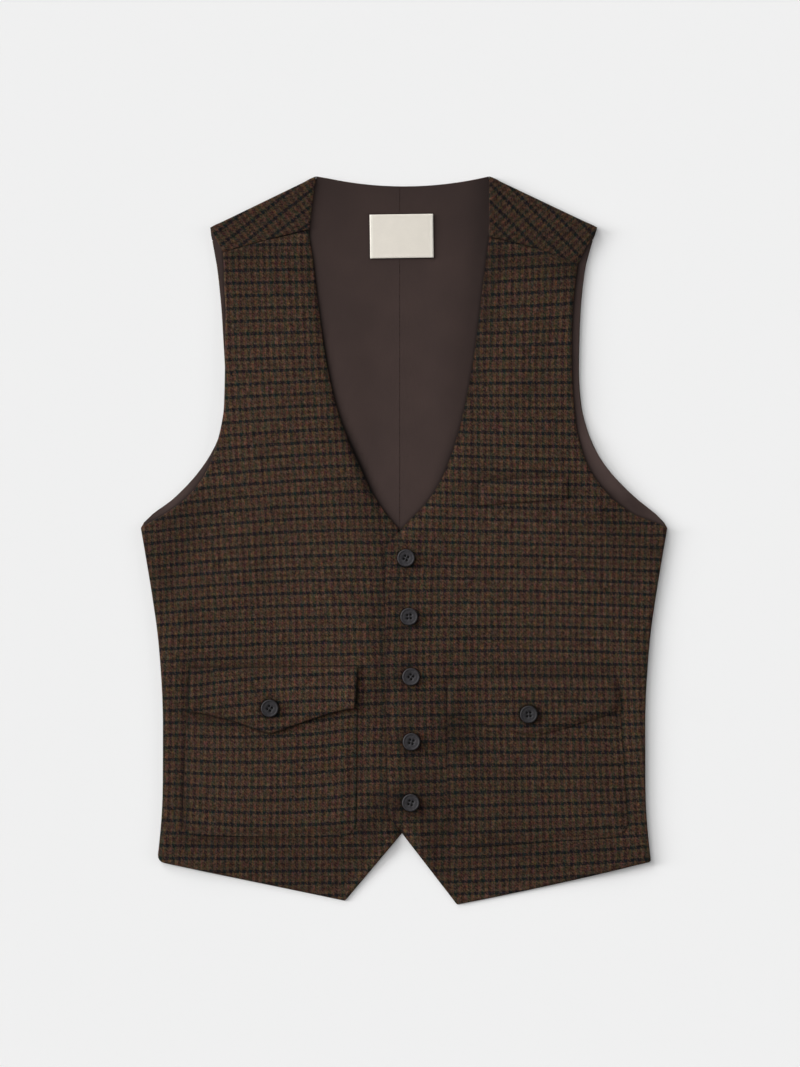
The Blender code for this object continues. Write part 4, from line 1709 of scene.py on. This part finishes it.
    def cut(self) -> Mesh:
        """Cut the cloth in the flat, and give it its wall, its levels and its grain.

        Returns:
            The mesh.
        """
        bm = bmesh.new()
        face = flat_face(bm, self.outline)
        if face.normal.z < 0.0:
            face.normal_flip()
        for width in self.rims():
            bm.normal_update()
            inset(bm, face, width)
        cut_lines(bm, self.cell)
        self.refine(bm)
        many = [face for face in bm.faces if len(face.verts) > 4]
        bmesh.ops.triangulate(bm, faces=many)
        grown = bmesh.ops.extrude_face_region(bm, geom=bm.faces[:])["geom"]
        upper = {item for item in grown if isinstance(item, bmesh.types.BMVert)}
        x, height = spots_of(bm)
        for vert, low, top in zip(bm.verts, *self.faces_at(x, height)):
            vert.co.z = top if vert in upper else low
        dye_points(bm, list(zip(*self.grain.at(x, height))), self.painted_shade_at(x, height))
        bmesh.ops.recalc_face_normals(bm, faces=bm.faces[:])
        if not self.roll:
            for edge in bm.edges:
                edge.smooth = edge.calc_face_angle(0.0) < radians(self.fold_angle)
        return bm

    def flat_size(self) -> tuple[float, float, float]:
        """The width, length and area of the cut, in metres.

        Returns:
            The three measures.
        """
        spans = [reach_of(self.outline, axis) for axis in (0, 1)]
        width, length = ((high - low) * MM for low, high in spans)
        area = sum(start.cross(end) / 2.0 for start, end in sides_of(self.outline))
        return width, length, abs(area) * MM * MM

    def build(self, extras: Sequence[bpy.types.Object] = ()) -> bpy.types.Object:
        """Args:
            extras: Sewing that goes with it.

        Returns:
            Its object.
        """
        made = make_object(f"{self.node}_cloth", self.cut(), self.finish)
        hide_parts(self.node)
        width, length, area = self.flat_size()
        rests = [f"{panel.node}_cloth" for panel in self.lower]
        list(extras)
        faces = len(made.data.polygons)
        log.info("%s: %d faces, cut %.0f x %.0f mm", made.name, faces, width / MM, length / MM)
        return made


# Sewing.


@dataclass(frozen=True)
class Stitching:
    """Rows of stitches along paths on a piece of cloth."""

    name: str
    finish: Finish
    pitch: float = 2.9
    length: float = 2.0
    bearing: float = 1.4
    thickness: float = 0.4
    rise: float = 0.08
    sides: tuple[int, int] = (6, 5)

    def sew(self, panel: Panel, paths: Sequence[Sequence[Vector]]) -> bpy.types.Object:
        """Sew the rows.

        Args:
            panel: The cloth.
            paths: The lines that the stitches follow.

        Returns:
            The stitches, as one object.
        """
        bm = bmesh.new()
        spots = [spot for path in paths for spot in self.places(path)]
        half = self.bearing / 2.0
        ends = np.array([place + way * end for place, way in spots for end in (-half, half)])
        _, top = panel.faces_at(ends[:, 0], ends[:, 1])
        for (place, way), (first, last) in zip(spots, top.reshape(-1, 2)):
            slope = atan2(last - first, self.bearing)
            level = float(first + last) / 2.0 + self.rise - self.thickness / 2.0
            turn = Matrix.Rotation(atan2(way.y, way.x), 4, "Z") @ Matrix.Rotation(-slope, 4, "Y")
            size = (self.length, self.thickness, self.thickness)
            add_bead(bm, Vector((place.x, place.y, level)), turn, size, self.sides)
        return make_object(self.name, bm, self.finish)

    def places(self, path: Sequence[Vector]) -> list[tuple[Vector, Vector]]:
        """The middle of each stitch along a path, and its way.

        Args:
            path: The path.

        Returns:
            The middle and the way of each stitch.
        """
        found = []
        ahead = self.pitch / 2.0
        for start, end in zip(path, path[1:]):
            span = (end - start).length
            while ahead < span:
                found.append((start.lerp(end, ahead / span), (end - start) / span))
                ahead += self.pitch
            ahead -= span
        return found


@dataclass
class PatchPocket(Panel):
    """A patch pocket, topstitched round its sides and foot, which is pressed flat.

    Attributes:
        fade: How far up from its foot its painted rim shade and the thickness of its edge grow to full.
        thinned: How much thinner its edge is toward the wearer's left, as a share.
        blend: How far to each side of its middle that change reaches.
        mouth_depth: How far down its sides the mouth's own edge reaches.
        seam_end: How far below the mouth the pull of the stitches is full.
        seam_blend: How far above that it ends.
    """

    creases: tuple[Crease, ...] = FRONT_CREASES
    painted_shades: tuple[Crease, ...] = FRONT_PAINTED_SHADES
    roll: float = 0.6
    press: float = 14.0
    thin: float = 0.75
    stitch_inset: float = 2.8
    stitch_sink: float = 0.1
    fade: float = 24.0
    thinned: float = 0.7
    blend: float = 30.0
    mouth_depth: float = 2.0
    seam_end: float = 6.0
    seam_blend: float = 3.0

    def rim_at(self, x: Numbers, height: Numbers) -> Numbers:
        """Painted shade along its sides, faint along its foot."""
        return self.painted_rim_shade * raised_share(height, self.outline, self.fade)

    def thin_at(self, x: Numbers, height: Numbers) -> Numbers:
        """Thinnest along the foot, and thinner toward the wearer's left.

        Args:
            x: Places across the drawing.
            height: Places up it.

        Returns:
            The share of the wall that is left.
        """
        middle = sum(point.x for point in self.outline) / len(self.outline)
        across = 1.0 - self.thinned * ease((x - middle) / (2.0 * self.blend) + 0.5)
        return self.thin * across * (0.5 + 0.5 * raised_share(height, self.outline, self.fade))

    def sewn(self, x: Numbers, height: Numbers) -> Numbers:
        """Everywhere but along the mouth."""
        _, mouth = reach_of(self.outline, 1)
        return 1.0 - ease((height - mouth + self.seam_end) / self.seam_blend)

    def stitch_path(self) -> list[Vector]:
        """The line of stitches down one side, along the foot and up the other.

        Returns:
            The points of the line.
        """
        bm = bmesh.new()
        face = flat_face(bm, self.outline)
        inset(bm, face, self.stitch_inset)
        points = [vert.co.xy.copy() for vert in face.verts]
        bm.free()
        top = reach_of(points, 1)[1] - self.mouth_depth
        below = [point.y < top for point in points]
        start = next(index for index in range(len(points)) if below[index] and not below[index - 1])
        turned = points[start:] + points[:start]
        return [point for point in turned if point.y < top]


# The pieces.


@dataclass
class Front(Panel):
    """A front, pressed along its neck and its button stand.

    Attributes:
        pressed_width: How far from the centre it is pressed.
        pressed_height: How far down it is pressed.
        blends: How far each of these changes reaches.
        unpressed_shade_cut: How much less painted rim shade an unpressed edge has, as a share.
    """

    creases: tuple[Crease, ...] = FRONT_CREASES
    painted_shades: tuple[Crease, ...] = FRONT_PAINTED_SHADES
    roll: float = 0.8
    press: float = 9.0
    seam_ridge: float = 0.1
    pressed_width: ClassVar[float] = 112.0
    pressed_height: ClassVar[float] = 66.0
    blends: ClassVar[Point] = (16.0, 12.0)
    unpressed_shade_cut: ClassVar[float] = 0.75

    def unpressed(self, x: Numbers, height: Numbers) -> Numbers:
        """Along the armhole, the side and the hem."""
        aside = ease((np.abs(x) - self.pressed_width) / self.blends[0])
        return np.maximum(aside, ease((self.pressed_height - height) / self.blends[1]))

    def rim_at(self, x: Numbers, height: Numbers) -> Numbers:
        """Painted rim shade where it is pressed, and little elsewhere."""
        return self.painted_rim_shade * (1.0 - self.unpressed_shade_cut * self.unpressed(x, height))


@dataclass
class Shell:
    """The cloth of the body: back, lining and fronts."""

    lining_cell: float = 4.5
    back_cell: float = 8.0
    lining_butt: float = 0.14
    armhole_corner: tuple[Point, ...] = ((237.4, 349.3), (240.0, 344.3))

    def build(self) -> dict[str, Panel]:
        """Build the pieces from the surface up.

        Returns:
            The pieces, by their nodes.
        """
        back = Panel(
            "back",
            Finish.WOOL,
            StraightGrain(),
            creases=BACK_CREASES,
            cell=self.back_cell,
            soften=0.0,
            painted_rim_shade=0.0,
        )
        # Painted shadows on each lining beside the edges of its front and of the label.
        lining_painted_shadows = {
            "right": (
                PaintedShadow("front_right", 0.5, 1.5),
                PaintedShadow("front_right", 0.92, 4.5, about=(-42.0, 404.0), spread=50.0),
                PaintedShadow("front_right", 0.7, 3.2, about=(-72.0, 500.0), spread=52.0),
                PaintedShadow("label", 0.35, 1.4),
            ),
            "left": (
                PaintedShadow("front_left", 0.45, 1.6),
                PaintedShadow("front_left", 0.35, 6.0, about=(40.0, 400.0), spread=44.0),
                PaintedShadow("label", 0.35, 1.4),
            ),
        }
        linings = {
            side: Panel(
                f"lining_{side}",
                Finish.LINING,
                StraightGrain(),
                lower=(back,),
                creases=LINING_CREASES,
                painted_shadows=side_painted_shadows,
                painted_shades=LINING_PAINTED_SHADES,
                cell=self.lining_cell,
                roll=0.0,
                painted_rim_shade=0.0,
                butt=self.lining_butt,
                let_out=tuple((x if side == "left" else -x, height) for x, height in self.armhole_corner),
            )
            for side, side_painted_shadows in lining_painted_shadows.items()
        }
        front_right = Front(
            "front_right",
            Finish.WOOL,
            RIGHT_GRAIN,
            lower=(back, linings["right"]),
            # Painted shadows beside the left front, the right flap and the right pocket.
            painted_shadows=(
                *painted_shadows("front_left"),
                PaintedShadow("front_left", 0.16, 7.0),
                PaintedShadow("flap_right", 0.45, 1.4),
                PaintedShadow("pocket_right", 0.5, 1.5, 24.0),
            ),
            thin=0.6,
        )
        front_left = Front(
            "front_left",
            Finish.WOOL,
            LEFT_GRAIN,
            lower=(back, linings["left"], front_right),
            # Painted shadows beside the left flap, the welt, the left pocket and the buttons.
            painted_shadows=(
                *painted_shadows("flap_left", "chest_welt"),
                PaintedShadow("pocket_left", 0.28, 1.3, 24.0),
                *(PaintedShadow(f"button_{number}", 0.65, 1.4) for number in range(1, 6)),
            ),
            # A painted shade over the whole left front, and a stronger painted rim shade.
            tone=0.93,
            painted_rim_shade=0.6,
        )
        pieces = (back, *linings.values(), front_right, front_left)
        for piece in pieces:
            piece.build()
        return {piece.node: piece for piece in pieces}


@dataclass(frozen=True)
class Yoke:
    """A shoulder yoke, folded over the shoulder between the back and a front."""

    node: str
    side: int
    turn: float
    # A painted shade over the whole yoke, as the share of light it keeps.
    tone: float
    soft_edge: float = 0.45
    flat_angle: float = 40.0
    sharp_angle: float = 60.0
    slant: float = 1.12
    fold: float = 0.95

    def build(self) -> bpy.types.Object:
        """Build the yoke from its solid, with soft edges and a fine fold.

        Returns:
            Its object.
        """
        bm = node_mesh(self.node)
        flat = radians(self.flat_angle)
        sharp_from = radians(self.sharp_angle)
        bmesh.ops.join_triangles(
            bm, faces=bm.faces[:], angle_face_threshold=flat, angle_shape_threshold=sharp_from
        )
        sharp = [edge for edge in bm.edges if edge.calc_face_angle(0.0) > sharp_from]
        bmesh.ops.bevel(
            bm, geom=sharp, offset=self.soft_edge, affect="EDGES", segments=2, profile=0.5, material=-1
        )
        bmesh.ops.subdivide_edges(bm, edges=bm.edges[:], cuts=3, use_grid_fill=True, smooth=0.5)
        for vert in bm.verts:
            vert.co.z = max(vert.co.z, 0.0)
        grain = StraightGrain(self.turn).at(*spots_of(bm))
        dye_points(bm, list(zip(*grain)), [self.tone] * len(bm.verts))
        made = make_object(f"{self.node}_cloth", bm, Finish.WOOL)
        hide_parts(self.node)
        low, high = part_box(self.node)
        log.info("%s: %d faces", made.name, len(made.data.polygons))
        return made


@dataclass(frozen=True)
class Pockets:
    """The patch pockets, their flaps and the chest welt."""

    fronts: dict[str, Panel]
    # Painted shade over each side's pocket and flap, their painted rim shade, and the depth of the painted
    # shadow beside each flap.
    painted_shades_and_tones: ClassVar[dict[str, float]] = {"right": 0.98, "left": 0.85}
    painted_rim_shades: ClassVar[dict[str, float]] = {"right": 0.55, "left": 0.25}
    flap_covers: ClassVar[dict[str, float]] = {"right": 0.5, "left": 0.12}
    flap_presses: ClassVar[dict[str, float]] = {"right": 0.0, "left": 7.0}

    def build(self) -> dict[str, Panel]:
        """Build them, outermost last.

        Returns:
            The pieces, by their nodes.
        """
        pocket_grains = {
            "right": PatchGrain(RIGHT_GRAIN, (-120.0, 110.0), 5.5, -1.4, -1.3, -3.2, -1.6),
            "left": PatchGrain(LEFT_GRAIN, (120.0, 110.0), -2.7, -1.0, -2.2, 0.2, 1.9),
        }
        flap_grains = {
            "right": PatchGrain(RIGHT_GRAIN, (-120.0, 195.0), 7.3, -5.0, -1.3, 2.6, -2.1),
            "left": PatchGrain(LEFT_GRAIN, (120.0, 190.0), -5.2, -0.3, 0.8, 0.6, 1.3),
        }
        made = {}
        for side, grain in pocket_grains.items():
            pocket = PatchPocket(
                f"pocket_{side}",
                Finish.WOOL,
                grain,
                lower=(self.fronts[f"front_{side}"],),
                painted_shadows=(PaintedShadow(f"flap_{side}", self.flap_covers[side], 1.4),),
                tone=self.painted_shades_and_tones[side],
                painted_rim_shade=self.painted_rim_shades[side],
            )
            stitches = Stitching(f"pocket_{side}_stitches", Finish.BROWN_THREAD)
            pocket.build([stitches.sew(pocket, [pocket.stitch_path()])])
            made[pocket.node] = pocket
        for side, grain in flap_grains.items():
            flap = Panel(
                f"flap_{side}",
                Finish.WOOL,
                grain,
                lower=(self.fronts[f"front_{side}"], made[f"pocket_{side}"]),
                creases=FRONT_CREASES,
                painted_shadows=(PaintedShadow(f"button_flap_{side}", 0.8, 2.1),),
                painted_shades=FRONT_PAINTED_SHADES,
                tone=self.painted_shades_and_tones[side],
                soften=2.5,
                roll=1.2,
                press=self.flap_presses[side],
                thin=0.34,
                painted_rim_shade=self.painted_rim_shades[side],
                seam_ridge=0.32,
            )
            flap.build()
            made[flap.node] = flap
        welt = Panel(
            "chest_welt",
            Finish.WOOL,
            LEFT_GRAIN,
            lower=(self.fronts["front_left"],),
            creases=FRONT_CREASES,
            roll=0.6,
            press=6.0,
        )
        welt.build()
        return {**made, welt.node: welt}


@dataclass
class Label(Panel):
    """The blank label, sewn to the lining."""

    turned_in: ClassVar[float] = 1.4
    turned_blend: ClassVar[float] = 0.8
    proud: ClassVar[float] = 0.12

    def relief(self, x: Numbers, height: Numbers, inside: Numbers) -> Numbers:
        """The turned-in ends at the top and foot, which stand a little proud.

        Args:
            x: Places across the drawing.
            height: Places up it.
            inside: How far inside the edge they are.

        Returns:
            How far the relief rises.
        """
        foot, top = reach_of(self.outline, 1)
        past = np.minimum(top - height, height - foot) - self.turned_in
        return self.proud * (1.0 - ease(past / self.turned_blend))


@dataclass(frozen=True)
class ButtonRing:
    """A ring of a button's turned profile."""

    radius: float
    height: float


@dataclass(frozen=True)
class Button:
    """A four-hole button with a raised rim and a dished middle, and the thread that holds it.

    Attributes:
        node: The solid that it stands for.
        turn: How it is turned, in degrees.
        hole_lip: How much wider a hole is at its mouth.
        hole_spread: How far the holes' middles are from the button's.
        shank: How high it stands over the cloth.
        thread_sink: How far down in a hole the thread ends.
        strand: The length that a bar of thread lacks, its width and its depth.
        strand_gap: How far to each side of a bar's middle its two strands lie.
        strand_sink: How far they lie in the dish.
        profile: Its turned profile, from the foot up, out and in to the dish.
    """

    node: str
    turn: float
    tone: float = 1.08
    sides: int = 48
    hole_sides: int = 16
    hole_radius: float = 1.0
    hole_lip: float = 0.18
    hole_lip_depth: float = 0.25
    # Painted shade in the holes, as the share of light kept.
    hole_painted_shade: float = 0.15
    hole_spread: float = 2.15
    shank: float = 0.3
    thread_radius: float = 0.6
    thread_sink: float = 0.9
    strand: tuple[float, float, float] = (0.7, 0.22, 0.26)
    strand_gap: float = 0.12
    strand_sink: float = 0.08
    strand_sides: tuple[int, int] = (12, 8)
    profile: tuple[ButtonRing, ...] = (
        ButtonRing(5.0, 0.0),
        ButtonRing(6.2, 0.0),
        ButtonRing(7.2, 0.4),
        ButtonRing(7.8, 0.95),
        ButtonRing(8.0, 1.6),
        ButtonRing(7.9, 2.15),
        ButtonRing(7.65, 2.6),
        ButtonRing(7.4, 2.88),
        ButtonRing(7.1, 2.98),
        ButtonRing(6.8, 2.92),
        ButtonRing(6.5, 2.72),
        ButtonRing(6.2, 2.62),
        ButtonRing(4.9, 2.58),
    )

    def build(self, panel: Panel) -> None:
        """Build the button and its thread.

        Args:
            panel: The cloth that it is sewn to.
        """
        low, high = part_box(self.node)
        foot = drawn(Vector(((low.x + high.x) / 2.0, (low.y + high.y) / 2.0, low.z)))
        _, top = panel.faces_at(np.array([foot.x]), np.array([foot.y]))
        foot.z = float(top[0]) + self.shank
        bm = bmesh.new()
        rings = [self.ring(bm, Vector((0.0, 0.0)), row, self.sides) for row in self.profile]
        self.bridge(bm, rings)
        dish = self.profile[-1].height
        bore = (
            ButtonRing(self.hole_radius, 0.0),
            ButtonRing(self.hole_radius, dish - self.hole_lip_depth),
            ButtonRing(self.hole_radius + self.hole_lip, dish),
        )
        feet = []
        tops = []
        for middle in self.holes():
            hole = [self.ring(bm, middle, row, self.hole_sides) for row in bore]
            self.bridge(bm, hole)
            feet.append(hole[0])
            tops.append(hole[-1])
        bmesh.ops.triangle_fill(bm, use_beauty=True, edges=sum(feet, rings[0]))
        bmesh.ops.triangle_fill(bm, use_beauty=True, edges=sum(tops, rings[-1]))
        bmesh.ops.recalc_face_normals(bm, faces=bm.faces[:])
        self.map_face(bm)
        bmesh.ops.translate(bm, verts=bm.verts[:], vec=foot)
        made = make_object(f"{self.node}_turned", bm, Finish.BUTTON)
        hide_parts(self.node)
        self.sew(foot)
        log.info("%s: %d faces", made.name, len(made.data.polygons))

    @staticmethod
    def ring(
        bm: Mesh, middle: Vector, row: ButtonRing, sides: int
    ) -> list[bmesh.types.BMEdge]:
        """Add a circle.

        Args:
            bm: The mesh.
            middle: Its middle, seen from above.
            row: Its radius and its height.
            sides: How many sides it has.

        Returns:
            Its edges.
        """
        spot = Matrix.Translation((middle.x, middle.y, row.height))
        made = bmesh.ops.create_circle(bm, cap_ends=False, radius=row.radius, segments=sides, matrix=spot)
        return list(dict.fromkeys(edge for vert in made["verts"] for edge in vert.link_edges))

    @staticmethod
    def bridge(bm: Mesh, rings: Sequence[list]) -> None:
        """Bridge each ring to the next."""
        for lower, upper in zip(rings, rings[1:]):
            bmesh.ops.bridge_loops(bm, edges=[*lower, *upper])

    def holes(self) -> list[Vector]:
        """The middles of the holes.

        Returns:
            Their middles, seen from above.
        """
        quarter = pi / 2.0
        angles = [radians(self.turn) + quarter * number for number in range(4)]
        return [Vector((cos(angle), sin(angle))) * self.hole_spread for angle in angles]

    def map_face(self, bm: Mesh) -> None:
        """Map the button from its own middle, in millimetres, and give it its tone, with painted shade in
        the holes.

        Args:
            bm: The button's mesh.
        """
        spots = [vert.co.xy for vert in bm.verts]
        bore = self.hole_radius + self.hole_lip / 2.0
        nearest = [min((spot - middle).length for middle in self.holes()) for spot in spots]
        painted_shades_and_tones = [self.hole_painted_shade if off < bore else self.tone for off in nearest]
        dye_points(bm, spots, painted_shades_and_tones)

    def sew(self, foot: Vector) -> None:
        """Sew the button on: two bars of thread across its holes, and a shank under it.

        Args:
            foot: The middle of the button's foot.
        """
        bm = bmesh.new()
        holes = self.holes()
        upright = max((0, 1), key=lambda start: abs((holes[start + 1] - holes[start]).normalized().y))
        dish = self.profile[-1].height
        for start in (upright, (upright + 2) % 4):
            first = holes[start]
            last = holes[(start + 1) % 4]
            way = (last - first).normalized()
            turn = Matrix.Rotation(atan2(way.y, way.x), 4, "Z")
            lack, width, depth = self.strand
            size = ((last - first).length - lack, width, depth)
            for aside in (-self.strand_gap, self.strand_gap):
                middle = (first + last) / 2.0 + Vector((-way.y, way.x)) * aside
                add_bead(bm, Vector((*middle, dish - self.strand_sink)), turn, size, self.strand_sides)
        bmesh.ops.translate(bm, verts=bm.verts[:], vec=foot)
        make_object(f"{self.node}_thread_bars", bm, Finish.GREY_THREAD)
        bm = bmesh.new()
        depth = self.shank + dish - self.thread_sink
        ends = {"radius1": self.thread_radius, "radius2": self.thread_radius}
        for hole in holes:
            spot = Matrix.Translation((hole.x, hole.y, depth / 2.0 - self.shank))
            bmesh.ops.create_cone(bm, cap_ends=True, segments=10, **ends, depth=depth, matrix=spot)
        bmesh.ops.translate(bm, verts=bm.verts[:], vec=foot)
        make_object(f"{self.node}_thread", bm, Finish.BLACK_THREAD)


BUTTONS = {
    "front_left": (
        Button("button_1", 20.0),
        Button("button_2", 48.0),
        Button("button_3", 8.0),
        Button("button_4", 30.0),
        Button("button_5", 28.0),
    ),
    "flap_right": (Button("button_flap_right", 12.0, 0.82),),
    "flap_left": (Button("button_flap_left", 50.0, 0.82),),
}


# The studio.


@dataclass(frozen=True)
class Softbox:
    """A far, soft light: its strength, and its spread, its rise and its side, in degrees."""

    strength: float
    spread: float
    rise: float
    side: float


@dataclass(frozen=True)
class Studio:
    """The floor, the lights and the camera."""

    frame_height: float = 0.9774
    frame_middle: Point = (-0.0037, 0.0064)
    distance: float = 4.2
    floor_size: float = 12.0
    floor_level: float = -0.0002
    sensor: float = 36.0
    sky: float = 0.16
    softboxes: tuple[Softbox, ...] = (
        Softbox(1.5, 10.0, 10.0, 176.0),
        Softbox(1.9, 16.0, 18.0, 166.0),
        Softbox(1.3, 22.0, 18.0, 118.0),
        Softbox(0.9, 30.0, 34.0, 155.0),
        Softbox(0.5, 20.0, 18.0, 5.0),
        Softbox(0.8, 60.0, 75.0, 140.0),
    )

    def build(self) -> None:
        """Build the studio."""
        scene = bpy.context.scene
        bm = bmesh.new()
        bmesh.ops.create_grid(bm, x_segments=1, y_segments=1, size=self.floor_size / 2.0)
        mesh = bpy.data.meshes.new("floor")
        bm.to_mesh(mesh)
        bm.free()
        mesh.materials.append(PaleFloor().material())
        floor = bpy.data.objects.new("floor", mesh)
        floor.location.z = self.floor_level
        scene.collection.objects.link(floor)
        self.light(scene)
        self.aim(scene)

    def light(self, scene: bpy.types.Scene) -> None:
        """Soft light, mostly low and from the left, and an even sky.

        Args:
            scene: The scene.
        """
        for number, box in enumerate(self.softboxes):
            lamp = bpy.data.lights.new(f"softbox_{number}", "SUN")
            lamp.energy = box.strength
            lamp.angle = radians(box.spread)
            placed = bpy.data.objects.new(f"softbox_{number}", lamp)
            side = radians(box.side)
            rise = radians(box.rise)
            toward = Vector((cos(side) * cos(rise), sin(side) * cos(rise), sin(rise)))
            placed.rotation_euler = toward.to_track_quat("Z", "Y").to_euler()
            scene.collection.objects.link(placed)
        world = bpy.data.worlds.new("studio")
        world.use_nodes = True
        background = world.node_tree.nodes["Background"]
        background.inputs["Color"].default_value = (1.0, 1.0, 1.0, 1.0)
        background.inputs["Strength"].default_value = self.sky
        scene.world = world
        scene.view_settings.view_transform = "Standard"

    def aim(self, scene: bpy.types.Scene) -> None:
        """A long lens, straight above.

        Args:
            scene: The scene.
        """
        data = bpy.data.cameras.new("camera")
        data.sensor_width = self.sensor
        data.lens = self.sensor * self.distance / self.frame_height
        data.clip_end = 100.0
        camera = bpy.data.objects.new("camera", data)
        camera.location = (*self.frame_middle, self.distance)
        scene.collection.objects.link(camera)
        scene.camera = camera


def main() -> None:
    """Dress the waistcoat and set the studio."""
    logging.basicConfig(level=logging.INFO, format="%(message)s")
    panels = Shell().build()
    # Each yoke's last number is a painted shade over the whole yoke.
    Yoke("yoke_right", -1, 38.0, 0.77).build()
    Yoke("yoke_left", 1, -45.0, 0.69).build()
    panels |= Pockets(panels).build()
    linings = (panels["lining_right"], panels["lining_left"])
    Label("label", Finish.LABEL, StraightGrain(0.8, (-2.2, 612.0)), lower=linings).build()
    for node, buttons in BUTTONS.items():
        for button in buttons:
            button.build(panels[node])
    Studio().build()


if __name__ == "__main__":
    main()
